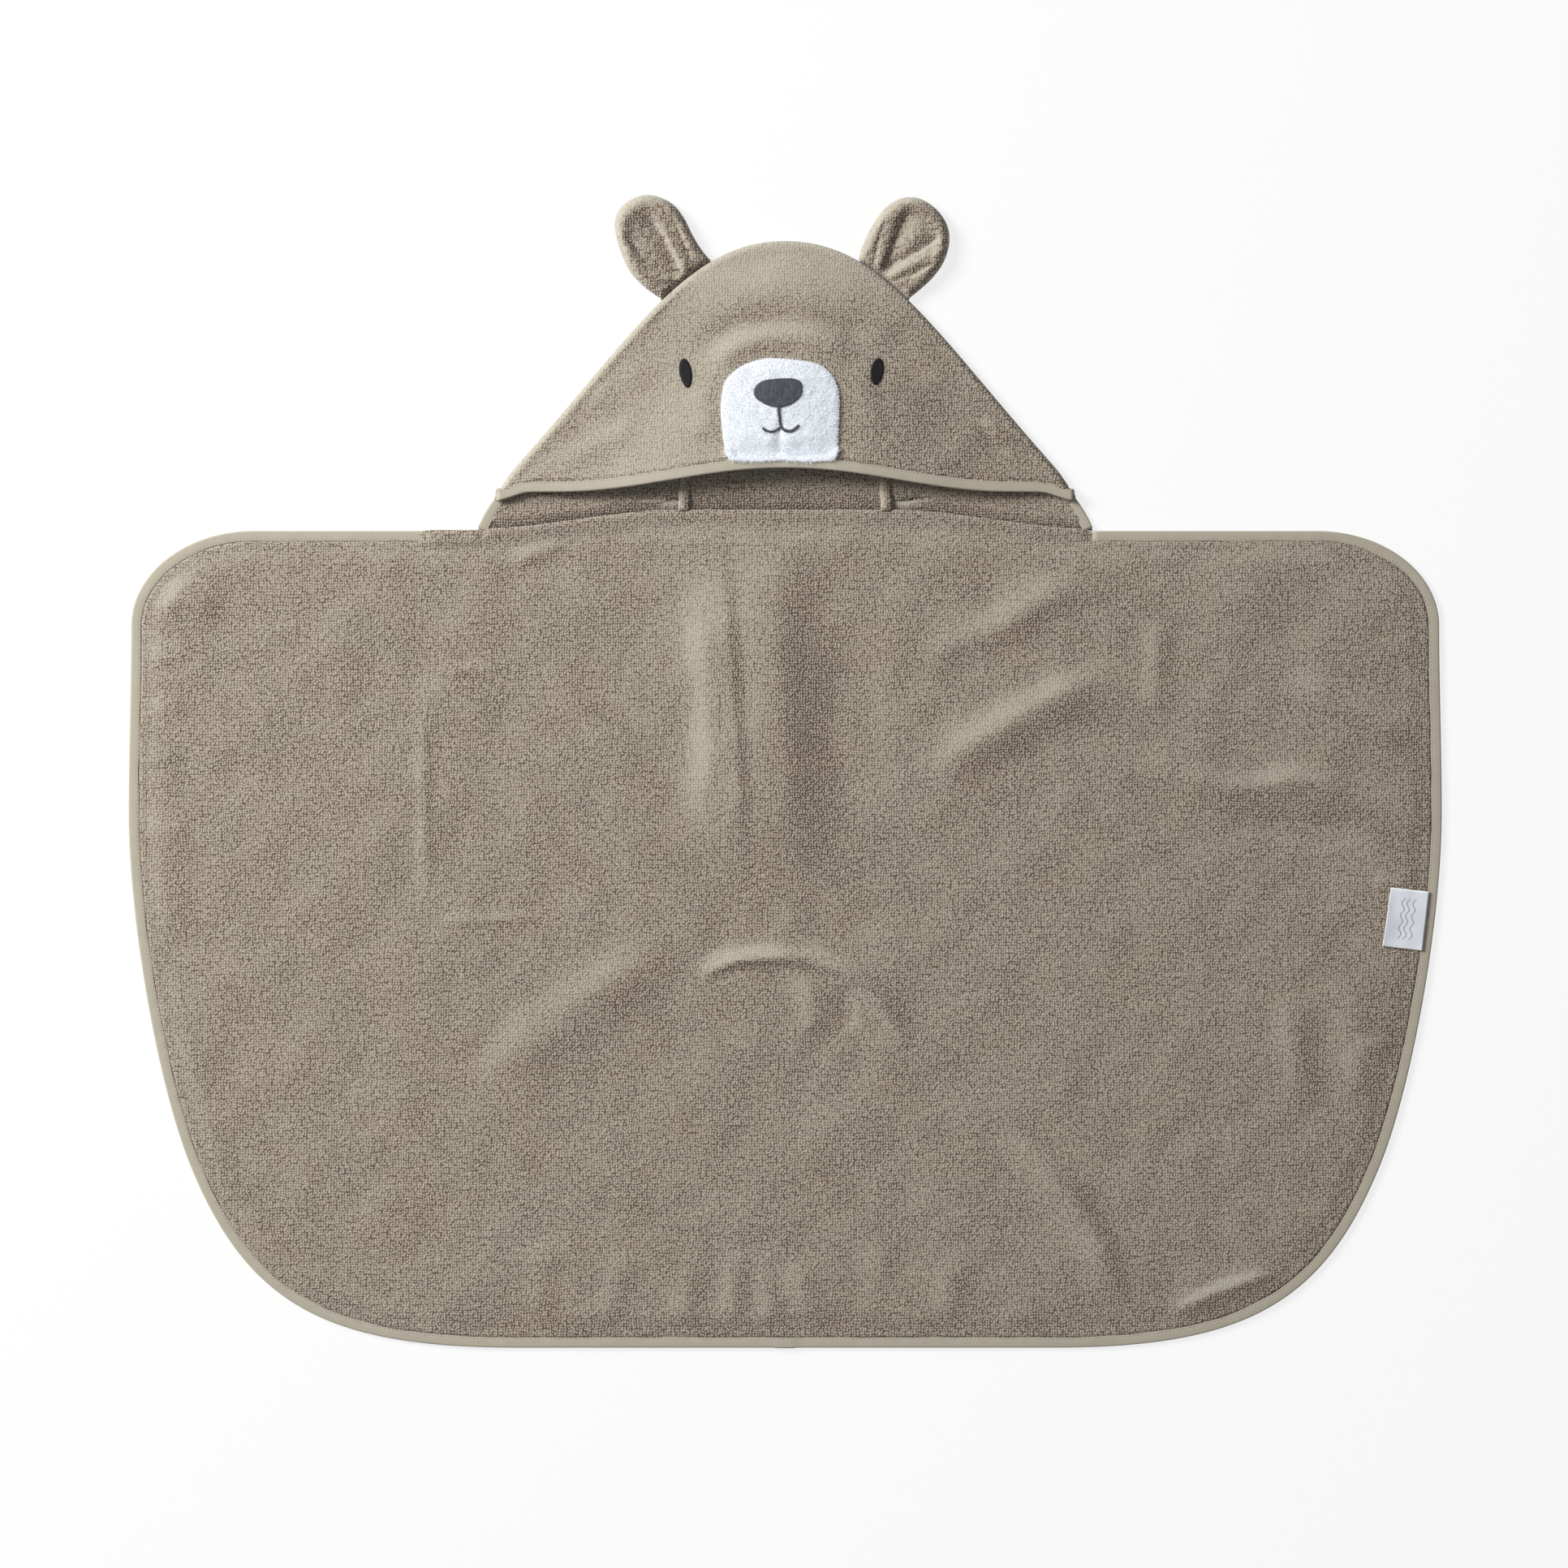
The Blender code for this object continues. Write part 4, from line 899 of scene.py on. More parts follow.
def cloth_solid(name, points, faces, half, flat):
    """Gives a net of points its thickness and its cloth map. Points that coincide are merged first."""
    bm = bmesh.new()
    layers = [bm.verts.layers.float.new(label) for label in ("half", "u", "v")]
    verts = [bm.verts.new(p) for p in points]
    for vert, values in zip(verts, np.column_stack([half, flat])):
        for layer, value in zip(layers, values):
            vert[layer] = value
    for face in faces:
        bm.faces.new([verts[i] for i in face])
    bmesh.ops.remove_doubles(bm, verts=bm.verts, dist=1e-6)
    bm.normal_update()
    rim = [(loop.vert, loop.link_loop_next.vert) for e in bm.edges if e.is_boundary for loop in e.link_loops]
    sheet, middle = list(bm.faces), list(bm.verts)
    offsets = [vert.normal * vert[layers[0]] for vert in middle]
    under = {}
    for vert, offset in zip(middle, offsets):
        under[vert] = bm.verts.new(vert.co - offset)
        for layer in layers:
            under[vert][layer] = vert[layer]
    for face in sheet:
        bm.faces.new([under[v] for v in reversed(face.verts)])
    for first, second in rim:
        bm.faces.new([second, first, under[first], under[second]])
    for vert, offset in zip(middle, offsets):
        vert.co += offset
    bmesh.ops.recalc_face_normals(bm, faces=bm.faces)
    bm.verts.index_update()
    flat_places = [(vert[layers[1]], vert[layers[2]]) for vert in bm.verts]
    mesh = bpy.data.meshes.new(name)
    bm.to_mesh(mesh)
    bm.free()
    map_cloth(mesh, flat_places)
    return mesh


def net_faces(rows, columns, first=0, turned=False):
    found = []
    for r in range(rows - 1):
        for c in range(columns - 1):
            a = first + r * columns + c
            face = (a, a + 1, a + columns + 1, a + columns)
            found.append(face[::-1] if turned else face)
    return found


start_length = np.linalg.norm(side_curve(1e-3)[0] - side_curve(0)[0]) / 1e-3
t_start = np.array([0, BOUND, SQUEEZED]) / start_length
t_side = np.concatenate([t_start, np.linspace(t_start[-1], BACK_SEAM_TOP, ROWS - 2)[1:]])
t_crown = np.linspace(BACK_SEAM_TOP, 1, (ACROSS + 1) // 2)
left_side = inset(t_side)
crown_line = inset(t_crown)
crown_line = np.concatenate([crown_line, mirrored(crown_line)[1:]])

opening_x = np.linspace(left_side[0][0], -left_side[0][0], ACROSS)
opening = np.stack([opening_x, opening_y(opening_x) + WRAP], 1)
from_corner = np.abs(left_side[0][0]) - np.abs(opening_x)
opening[:, 1] += (left_side[0][1] - opening[0, 1]) * smooth_step(from_corner, CORNER_EASE, 0)
face_plan = squeeze_rows(coons(opening, crown_line, left_side, left_side * [-1, 1]), slice(1, -1))
across = np.linspace(0, 1, ACROSS)[None, :]
up = np.linspace(0, 1, ROWS)[:, None]
from_side = np.minimum(across, 1 - across)
domed = OPENING_LIFT * (1 - up) ** 1.6 + DOME_LIFT * 4 * up * (1 - up)
face_height = FOLD_TOP + domed * smooth_step(from_side, 0, DOME_EDGE)
held = smooth_step(from_side * ACROSS, 0, 7) * smooth_step((1 - up) * ROWS, 0, 7)
face_height = face_height + hood_lift(face_plan[..., 0], face_plan[..., 1]) * held
face_grid = np.dstack([face_plan, face_height])

seam_foot = np.array([-BACK_SEAM_HALF_WIDTH, neck_y(-BACK_SEAM_HALF_WIDTH) + GAP])
seam_head = inset(BACK_SEAM_TOP)[0]
seam = np.linspace(seam_foot, seam_head, ROWS)
neck_corner = np.array([WRAP - NECK_WIDTH / 2, GAP])
flap_neck = np.linspace(seam_foot[0], neck_corner[0], FLAP_NECK + 1)
flap_neck = np.stack([flap_neck, neck_y(flap_neck) + GAP], 1)
flap_way = left_side[0] - neck_corner
flap_edge = neck_corner + FLAP_EDGE[:, None] * flap_way
flap_out = np.array([-flap_way[1], flap_way[0]]) / np.linalg.norm(flap_way)
flap_edge += FLAP_BULGE * (4 * FLAP_EDGE * (1 - FLAP_EDGE))[:, None] * flap_out
flap_bottom = np.concatenate([flap_neck, flap_edge])
flap_right = left_side.copy()
flap_right[-1] = seam_head
flap_plan = squeeze_rows(
    coons(flap_bottom, np.repeat(seam_head[None], len(flap_bottom), 0), seam, flap_right), slice(0, -1)
)
flap_grid = np.dstack([flap_plan, np.full(flap_plan.shape[:2], TERRY / 2)])

t_fold = np.concatenate([t_side, t_crown[1:]])
fold_centre, fold_in = inset(t_fold), side_normal(t_fold)
fold_centre = np.concatenate([fold_centre, mirrored(fold_centre)[1:]])
fold_in = np.concatenate([fold_in, mirrored(fold_in)[1:]])
from_start = length_along(fold_centre)
slim = 0.2 + 0.8 * smooth_step(np.minimum(from_start, from_start[-1] - from_start), 0, FOLD_TAPER)
fold_rows, fold_flat = [], []
for angle in np.linspace(-math.pi / 2, math.pi / 2, ROUND + 1):
    around = fold_centre - (FOLD_RADIUS * math.cos(angle) * slim)[:, None] * fold_in
    level = np.full(len(around), FOLD_HALF + FOLD_RADIUS * math.sin(angle))
    fold_rows.append(np.column_stack([around, level]))
    fold_flat.append(fold_centre - FOLD_RADIUS * (math.pi / 2 - angle) * fold_in)
fold_grid, fold_flat = np.array(fold_rows), np.array(fold_flat)

hood_points, hood_flat, hood_half, hood_faces = [], [], [], []
for grid, flat, turned in (
    (face_grid, face_grid[..., :2], False),
    (flap_grid, flap_grid[..., :2], False),
    (flap_grid * [-1, 1, 1], flap_grid[..., :2] * [-1, 1], True),
    (fold_grid, fold_flat, True),
):
    half = np.full(grid.shape[:2], TERRY / 2)
    if grid is fold_grid:
        half[:, :2] = half[:, -2:] = EDGE_HALF
    else:
        half[:2] = EDGE_HALF
    hood_faces += net_faces(*grid.shape[:2], sum(len(p) for p in hood_points), turned)
    hood_points.append(grid.reshape(-1, 3))
    hood_flat.append(flat.reshape(-1, 2))
    hood_half.append(half.ravel())
shift = np.array([0, TOP_EDGE, 0])


def ease_corners(mesh):
    """Draws the opening's ends down over the flaps, so that its edge turns the side folds in a soft curve."""
    points = np.zeros(len(mesh.vertices) * 3, np.float32)
    mesh.vertices.foreach_get("co", points)
    points = points.reshape(-1, 3)
    outwards = smooth_step(np.abs(points[:, 0]), *CORNER_SPAN)
    raised = smooth_step(points[:, 2], 0.0030, 0.0085) * smooth_step(points[:, 1] - TOP_EDGE, 0.066, 0.030)
    points[:, 1] -= CORNER_DROP * outwards * raised
    mesh.vertices.foreach_set("co", points.ravel())
    mesh.update()


hood_mesh = cloth_solid(
    "hood_terry",
    np.concatenate(hood_points) + shift,
    hood_faces,
    np.concatenate(hood_half),
    np.concatenate(hood_flat) + shift[:2],
)
ease_corners(hood_mesh)
# Painted light on the hood: flanks that face the key lamp are painted lighter and smoother.
paint_lit_share(hood_mesh, steep=0.42)
# Over the crown the pile is painted smoother and lighter still, partly because its pile lies flat there and
# partly as a painted highlight.
lit_share_values = np.zeros(len(hood_mesh.vertices), np.float32)
hood_mesh.attributes["lit_share"].data.foreach_get("value", lit_share_values)
crown_way = np.array([v.co.y for v in hood_mesh.vertices]) - TOP_EDGE
lit_share_values = np.clip(lit_share_values + CROWN_BRUSH_AND_LIGHT * smooth_step(crown_way, *CROWN_SPAN), 0, 1).astype(np.float32)
hood_mesh.attributes["lit_share"].data.foreach_set("value", lit_share_values)
hood_terry = plain_object("hood_terry", hood_mesh, cotton_terry)
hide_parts("hood_main_panel")
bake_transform(hood_terry)

# The centre back: a flat terry gusset between the two back seams, from the neck to the crown.
gusset_crown = inset(t_crown) + 0.0009 * side_normal(t_crown)
gusset_side = np.linspace(seam_foot + [GAP, 0], gusset_crown[0] + [GAP, 0], 30)
gusset_crown[0] = gusset_side[-1]
gusset_crown = np.concatenate([gusset_crown, mirrored(gusset_crown)[1:]])
gusset_x = np.linspace(gusset_side[0][0], -gusset_side[0][0], len(gusset_crown))
gusset_neck = np.stack([gusset_x, neck_y(gusset_x) + GAP], 1)
gusset_plan = squeeze_rows(coons(gusset_neck, gusset_crown, gusset_side, gusset_side * [-1, 1]))
gusset_grid = np.dstack([gusset_plan, np.full(gusset_plan.shape[:2], TERRY / 2)])
gusset_half = np.full(gusset_grid.shape[:2], TERRY / 2)
gusset_half[:2] = EDGE_HALF
gusset_mesh = cloth_solid(
    "hood_back_terry",
    gusset_grid.reshape(-1, 3) + shift,
    net_faces(*gusset_grid.shape[:2]),
    gusset_half.ravel(),
    gusset_plan.reshape(-1, 2) + shift[:2],
)
# Painted light, as on the hood: lighter and smoother where it faces the key lamp.
paint_lit_share(gusset_mesh)
hood_back = plain_object("hood_back_terry", gusset_mesh, cotton_terry)
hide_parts("hood_back_gusset")
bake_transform(hood_back)

# The back seams' allowances: overlocked terry, pressed to one side, a low ridge inside the hood.
ALLOWANCE_SECTION = [(-4.4, 0.02), (-4.3, 1.2), (-3.2, 2.2), (-0.5, 2.6), (2.6, 2.3), (4.2, 1.3), (4.4, 0.02)]
ALLOWANCE_SECTION = np.array(ALLOWANCE_SECTION) / 1000
for name, side in (("left", -1), ("right", 1)):
    line = np.linspace(seam_foot, seam_head, 61)[:49] + [GAP / 2, GAP]
    line = line * [-side, 1]
    wobble = 0.00035 * waves(line[:, 1], 0 * line[:, 1], 41 + side, 0.012)
    sections = np.zeros((len(line), len(ALLOWANCE_SECTION), 3))
    for i, (a, z) in enumerate(ALLOWANCE_SECTION):
        sections[:, i, 0] = line[:, 0] + a + wobble
        sections[:, i, 1] = line[:, 1] + TOP_EDGE
        sections[:, i, 2] = TERRY + GAP + z + (wobble if z > 0.001 else 0)
    ridge_mesh = swept("allowance", sections, length_along(line))
    # Painted light: the flank that faces the key lamp is painted lighter and smoother.
    paint_lit_share(ridge_mesh, steep=0.25)
    ridge = plain_object(f"hood_{name}_allowance", ridge_mesh, cotton_terry)
    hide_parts(f"hood_seam_{name}")
    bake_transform(ridge)

# The hood's binding: the same strip, up one flap's edge, round the fold, along the opening and down again.
flap_pairs = list(zip(flap_grid[0], flap_grid[1]))[FLAP_NECK + 1 :]
fold_pairs = [(row[0], row[1]) for row in fold_grid[1:-1]]
face_pairs = list(zip(face_grid[0], face_grid[1]))
flip = np.array([-1, 1, 1])
right_pairs = [(edge * flip, inner * flip) for edge, inner in (flap_pairs + fold_pairs)[::-1]]
free = flap_pairs + fold_pairs + face_pairs + right_pairs
edge, inner = (np.array(points) + shift for points in zip(*free))
along = np.gradient(edge, axis=0)
along /= np.linalg.norm(along, axis=1)[:, None]
inward = inner - edge
inward -= np.sum(inward * along, axis=1)[:, None] * along
inward /= np.linalg.norm(inward, axis=1)[:, None]
outer = np.cross(along, inward)
outer /= np.linalg.norm(outer, axis=1)[:, None]
on_face = smooth_step(outer[:, 2], 0.2, 0.9) > 0.5
hood_run = length_along(edge)
sections = np.zeros((len(edge), len(STRIP_SECTION), 3))
for i, (deep, high) in enumerate(STRIP_SECTION):
    # On the flaps the strip lies the other way up, so its section is turned over there.
    level = np.where(on_face, high, -high)
    sections[:, i] = edge + inward * (deep - WRAP) + outer * level[:, None]
sections[..., 2] = np.maximum(sections[..., 2], FLOOR_CLEAR)
strip_mesh = swept("hood_edge_binding_strip", sections, hood_run)
ease_corners(strip_mesh)
hood_binding = plain_object("hood_edge_binding_strip", strip_mesh, cotton_binding)
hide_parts("hood_edge_binding")
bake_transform(hood_binding)

face_line = (edge + inward * (STITCH_DEPTH - WRAP) + outer * STITCH_LEVEL)[on_face]
hood_stitches = grown("hood_topstitch", line_mesh("seam", [face_line]), topstitch, STITCH)
ease_corners(hood_stitches.data)
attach(hood_stitches, "hood")

# ---------------------------------------------------------------- ears
# Each ear is two layers of terry, turned right side out and pleated at the root into the hood's edge.
# The rim stands up as a soft roll, and two creases run down the hollow between its lobes to the root.

EAR_ROOT = (0.545, 0.740)
EAR_TERRY = 0.0030
EAR_STEP = 0.0017
EAR_BLEND = 0.018
EAR_HEIGHT, EAR_DOME, EAR_ROLL = 0.0058, 0.0010, 0.0018
EAR_GAIN, EAR_LEAN, EAR_STRETCH = 0.45, 0.05, 1.06
# Each ear's head, from one end of the root round to the other: mm along the root, mm outwards.
EAR_HEADS = {
    "left": [
        (23.5, 3), (23, 13), (24, 24), (26, 36), (25.5, 48), (21, 58), (13, 66.5), (2, 70.6), (-9, 70.6),
        (-18, 66), (-24.5, 56), (-29, 43), (-31, 30), (-29, 16), (-24, 2),
    ],
    "right": [
        (26, 3), (29.5, 14), (31.5, 28), (31.5, 40), (28, 50.5), (22, 58), (13.5, 62.6), (2, 64), (-9, 62.2),
        (-18, 57.5), (-25, 49), (-29, 37), (-29, 24), (-26.5, 12), (-23.5, 2),
    ],
}
# Ridges of each ear, in the same form and frame as its head and the body's ridges.
EAR_RIDGES = {
    "left": [
        (-4.6, 2.2, 8, [(5, 63), (7, 53), (6, 38), (2.5, 20), (-1, 1)]),
        (2.6, 7, 2.6, [(12, 64), (12.5, 52), (10.5, 36), (6, 17), (1, 0)]),
        (-3.6, 5, 2.0, [(-12, 60), (-16, 50), (-14.6, 33), (-9.5, 17), (-4, 1)]),
        (1.8, 2.6, 5, [(-19, 54), (-20.5, 36), (-15, 18), (-8, 2)]),
        (-1.8, 1.8, 1.8, [(21, 46), (18, 30), (12, 14), (7, 4)]),
        (-1.6, 1.8, 2.2, [(-25, 26), (-18, 12), (-9, 1)]),
        (-1.2, 1.6, 1.6, [(17, 20), (12, 8), (8, 1)]),
    ],
    "right": [
        (-5.0, 2.2, 8, [(18, 59), (16.5, 49), (13, 35), (8.5, 19), (4, 1)]),
        (2.6, 6, 2.4, [(23, 56), (22, 44), (18, 29), (11, 12), (6, 1)]),
        (-4.4, 6, 2.0, [(-15, 55), (-11.5, 47), (-5.5, 29), (0, 14), (3, 2)]),
        (2.6, 2.6, 7, [(-20, 50), (-15.5, 36), (-9, 21), (-2, 7), (1, 1)]),
        (-1.8, 1.8, 1.8, [(27, 40), (23, 24), (15, 8), (10, 1)]),
        (-1.8, 1.8, 1.8, [(-24, 38), (-17, 22), (-8, 7), (-3, 1)]),
    ],
}


def disc_net(outline, centre, shares):
    """A centre point and a ring of points for each share of the way to the outline, and the net's faces."""
    count = len(outline)
    plan = np.concatenate([centre[None]] + [centre + share * (outline - centre) for share in shares])
    level = np.concatenate([[0.0], np.repeat(shares, count)])
    faces = [(0, 1 + i, 1 + (i + 1) % count) for i in range(count)]
    for ring in range(len(shares) - 1):
        a, b = 1 + ring * count, 1 + (ring + 1) * count
        faces += [(a + i, b + i, b + (i + 1) % count, a + (i + 1) % count) for i in range(count)]
    return plan, level, faces


def slab(name, plan, faces, top, bottom, rim, turned=False):
    """A closed piece between two heights over the same net. rim lists the net's outer points in order."""
    count = len(plan)
    every = [tuple(face) for face in faces] + [tuple(i + count for i in face[::-1]) for face in faces]
    every += [(i, i + count, j + count, j) for i, j in zip(rim, rim[1:] + rim[:1])]
    if turned:
        every = [face[::-1] for face in every]
    points = np.concatenate([np.column_stack([plan, top]), np.column_stack([plan, bottom])])
    mesh = bpy.data.meshes.new(name)
    mesh.from_pydata(points.tolist(), [], every)
    map_cloth(mesh, np.concatenate([plan, plan]))
    return mesh


def edge_round(share, start):
    """1 inside, and falling in a quarter circle to 0 at the rim."""
    return np.sqrt(np.clip(1 - np.clip((share - start) / (1 - start), 0, 1) ** 2, 0, 1))


root_start, root_end = side_curve(EAR_ROOT)
root_along = (root_end - root_start) / np.linalg.norm(root_end - root_start)
root_out = np.array([-root_along[1], root_along[0]])
root_middle = (root_start + root_end) / 2
ear_rings = 1 - (1 - np.linspace(0, 1, 41)[1:]) ** 1.25
for side_name, side in (("left", -1), ("right", 1)):
    # The frame of the root is that of the left ear, and the right ear is mirrored from it.
    t_root = np.linspace(*EAR_ROOT, 15)
    root = side_curve(t_root) - (GAP + FLOOR_CLEAR) * side_normal(t_root)
    head = curved(EAR_HEADS[side_name])
    leaning = root_out + EAR_LEAN * root_along
    head = root_middle + head[:, :1] * root_along + EAR_STRETCH * head[:, 1:] * leaning
    outline = evenly(np.concatenate([root, head, root[:1]]), EAR_STEP)[:-1]
    centre = root_middle + 0.034 * root_out
    plan, share, faces = disc_net(outline, centre, ear_rings)
    place = plan - root_middle
    a, o = place @ root_along, place @ root_out
    free = smooth_step(o, 0.002, 0.020)
    puffed = edge_round(share, 0.86)
    rolled = EAR_ROLL * np.exp(-(((share - 0.80) / 0.15) ** 2)) * free
    creased = EAR_GAIN * ridged(a, o, EAR_RIDGES[side_name], (0.0, 0.25), (1.0, 0.85))
    height = EAR_HEIGHT + EAR_DOME * (1 - share**2) + rolled + creased * (0.25 + 0.75 * puffed)
    height += 0.00012 * waves(a, o, 51 + side, 0.006, 40)
    floor_level = EAR_TERRY + GAP
    top = floor_level + np.maximum(height * puffed, 0.0006)
    bottom = np.maximum(top - EAR_TERRY, floor_level)
    spot = plan * [-side, 1] + shift[:2]
    rim = list(range(len(plan) - len(outline), len(plan)))
    body = side_name + "_ear"
    ends = (root_middle, root_middle + EAR_BLEND * root_out)
    ends = [tuple(np.append(end * [-side, 1] + shift[:2], 0)) for end in ends]
    front_mesh = slab(body + "_terry", spot, faces, top, bottom, rim, side > 0)
    # Painted light on the ear: lighter and smoother where it faces the key lamp.
    paint_lit_share(front_mesh, steep=0.30)
    front = plain_object(body + "_terry", front_mesh, cotton_terry)
    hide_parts(body + "_front")
    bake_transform(front)
    thinned = 1 - edge_round(share, 0.90)
    name = body + "_back_terry"
    back_mesh = slab(name, spot, faces, EAR_TERRY - 0.0004 * thinned, 0.0010 * thinned, rim, side > 0)
    lower = plain_object(name, back_mesh, cotton_terry)
    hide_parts(body + "_back")
    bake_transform(lower)

# ---------------------------------------------------------------- muzzle
# A patch of white plush with a little wadding under it, sewn to the face along its edge.
# Its pile is 2 mm long and brushed down, and it fluffs out over the binding at its foot.

MUZZLE_LIFT, MUZZLE_EDGE, MUZZLE_MIDDLE = 0.0005, 0.0014, 0.0034
MUZZLE_SKIN = 0.0004
MUZZLE_CENTRE = (-0.0040, 0.0940)
# Outline anticlockwise from the right end of the foot, in mm from the middle of the straight top edge.
MUZZLE_LINE = [
    (34.5, 52.4), (38.0, 54.6), (39.7, 61), (40.3, 76), (40.9, 96), (39.2, 109), (33.8, 118.8), (24.2, 125.7),
    (9.0, 128.4), (-8.0, 129.8), (-18.5, 129.0), (-31.6, 124.7), (-41.2, 117.4), (-46.6, 109.2), (-48.8, 91),
    (-47.6, 74.5), (-45.6, 61), (-43, 54.6), (-39.2, 52.4), (-22, 51.6), (-5, 52.6), (14, 51.4),
]
# A low swell down the middle, and the pinches below the mouth.
MUZZLE_RIDGES = [
    (1.1, 26, 22, [(-4, 140), (-3, 120), (-4, 90), (-4.4, 50)]),
    (-1.5, 3.2, 3.2, [(-4.2, 84), (-4.8, 68), (-4.2, 44)]),
    (0.7, 4.5, 4.5, [(-12.0, 72), (-13.0, 62), (-12.0, 46)]),
    (0.7, 4.5, 4.5, [(4.0, 74), (4.5, 62), (4.0, 46)]),
]


def surface_of(mesh):
    return BVHTree.FromPolygons([v.co for v in mesh.vertices], [list(p.vertices) for p in mesh.polygons])


def heights_on(surface, plan):
    found = []
    for x, y in plan:
        hit = surface.ray_cast(Vector((x, y, 1.0)), Vector((0, 0, -1)))
        found.append(hit[0].z if hit[0] else np.nan)
    found = np.array(found)
    found[np.isnan(found)] = np.nanmin(found)
    return found


def closed_curve(points):
    """A smooth closed line through the points, in metres from millimetres."""
    line = curved(points[-3:] + points + points[:3])
    return line[18 : 18 + 6 * len(points)]


plush, tree = blank_material("white_brushed_plush")
flat = add(tree, "ShaderNodeUVMap", uv_map="cloth").outputs["UV"]
tufts = add(tree, "ShaderNodeTexNoise", {"Vector": flat, "Scale": 420.0, "Detail": 4.0, "Roughness": 0.65})
swirls = add(tree, "ShaderNodeTexNoise", {"Vector": flat, "Scale": 60.0, "Detail": 3.0})
swirl, tuft = swirls.outputs["Fac"], tufts.outputs["Fac"]
both = add(tree, "ShaderNodeMath", {0: swirl, 1: 1.6, 2: tuft}, operation="MULTIPLY_ADD")
shade = add(tree, "ShaderNodeMapRange", {"Value": both.outputs[0], "From Min": 0.9, "From Max": 1.6})
mixed = add(
    tree, "ShaderNodeMix", {0: shade.outputs[0], 6: linear("#c9ced6"), 7: linear("#dbdfe5")}, data_type="RGBA"
)
bump = add(tree, "ShaderNodeBump", {"Strength": 0.45, "Distance": 0.0007, "Height": both.outputs[0]})
finish_material(tree, mixed.outputs[2], 0.95, bump.outputs[0], Sheen_Weight=0.3, Sheen_Roughness=0.5)

hood_surface = surface_of(hood_mesh)
outline = evenly(closed_curve(MUZZLE_LINE), 0.0020) + shift[:2]
centre = np.array(MUZZLE_CENTRE) + shift[:2]
plan, share, faces = disc_net(outline, centre, 1 - (1 - np.linspace(0, 1, 45)[1:]) ** 1.35)
ground = heights_on(hood_surface, plan) + MUZZLE_LIFT
thickness = MUZZLE_EDGE + (MUZZLE_MIDDLE - MUZZLE_EDGE) * (1 - share**3)
pinched = ridged(plan[:, 0], plan[:, 1] - TOP_EDGE, MUZZLE_RIDGES, (0.0, 0.2), (1.06, 0.86))
thickness = thickness + pinched * edge_round(share, 0.6)
thickness = thickness + 0.00018 * waves(plan[:, 0], plan[:, 1], 61, 0.007, 40) * (share < 0.97)
thickness = thickness * (0.35 + 0.65 * smooth_step(plan[:, 1] - TOP_EDGE, 0.055, 0.071))
top = ground + MUZZLE_SKIN + (thickness - MUZZLE_SKIN) * edge_round(share, 0.90)
rim = list(range(len(plan) - len(outline), len(plan)))
muzzle_mesh = slab("muzzle_plush", plan, faces, top, ground, rim)
muzzle = plain_object("muzzle_plush", muzzle_mesh, plush)
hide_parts("muzzle_patch")
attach(muzzle, "hood")

# The pile: a tapered fibre at each of many random places, tilted every way and mostly down.
sizes = (("Density", 900000.0), ("Length", 0.002), ("Thickness", 0.0003))
tree, given = open_tree("plush_fibres", "Cloth", sizes, "Fibre", "Pile")
cloth, density, thick = (given.outputs[label] for label in ("Cloth", "Density", "Thickness"))
spread = add(tree, "GeometryNodeDistributePointsOnFaces", {"Mesh": cloth, "Density": density, "Seed": 7})
taper = {"Vertices": 3, "Radius Top": 0.12, "Radius Bottom": 0.5, "Depth": 1.0}
fibre = add(tree, "GeometryNodeMeshCone", taper)
tilts = {0: (-0.9, -1.1, 0.0), 1: (0.9, 0.5, 6.28), "Seed": 3}
tilt = add(tree, "FunctionNodeRandomValue", tilts, data_type="FLOAT_VECTOR")
turns = {0: spread.outputs["Rotation"], 1: tilt.outputs[0]}
turned = add(tree, "FunctionNodeRotateRotation", turns, rotation_space="LOCAL")
stretch = add(tree, "FunctionNodeRandomValue", {2: 0.6, 3: 1.1, "Seed": 5}, data_type="FLOAT")
tall = add(tree, "ShaderNodeMath", {0: given.outputs["Length"], 1: stretch.outputs[1]}, operation="MULTIPLY")
size = add(tree, "ShaderNodeCombineXYZ", {0: thick, 1: thick, 2: tall.outputs[0]})
stood = add(
    tree,
    "GeometryNodeInstanceOnPoints",
    {
        "Points": spread.outputs["Points"],
        "Instance": fibre.outputs["Mesh"],
        "Rotation": turned.outputs[0],
        "Scale": size.outputs[0],
    },
)
close_tree(tree, stood.outputs[0], given.outputs["Fibre"])

# White synthetic fibre lets some light through. Here that is painted light: a little glow of its own that
# lifts its shaded side.
fibre_white = linear("#f2f5fa")
fibre_finish, fibre_tree = blank_material("white_polyester_fibre")
finish_material(
    fibre_tree, fibre_white, 0.8, Sheen_Weight=0.3, Emission_Color=fibre_white, Emission_Strength=0.24
)

at_rim = [min(share[i] for i in f) > 0.93 for f in faces]
at_foot = [max(plan[i][1] for i in f) < TOP_EDGE + 0.062 for f in faces]
foot_faces = [face for face, outer_ring, low in zip(faces, at_rim, at_foot) if outer_ring and low]
for name, skin_faces, density, length, thickness in (
    ("muzzle_pile", faces, 1.6e6, 0.0017, 0.00030),
    ("muzzle_foot_pile", foot_faces, 6.0e6, 0.0038, 0.00040),
):
    skin = bpy.data.meshes.new(name + "_skin")
    skin.from_pydata(np.column_stack([plan, top]).tolist(), [], skin_faces)
    values = {"Density": density, "Length": length, "Thickness": thickness, "Fibre": fibre_finish}
    fibres = grown(name, skin, tree, values)
    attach(fibres, "hood")

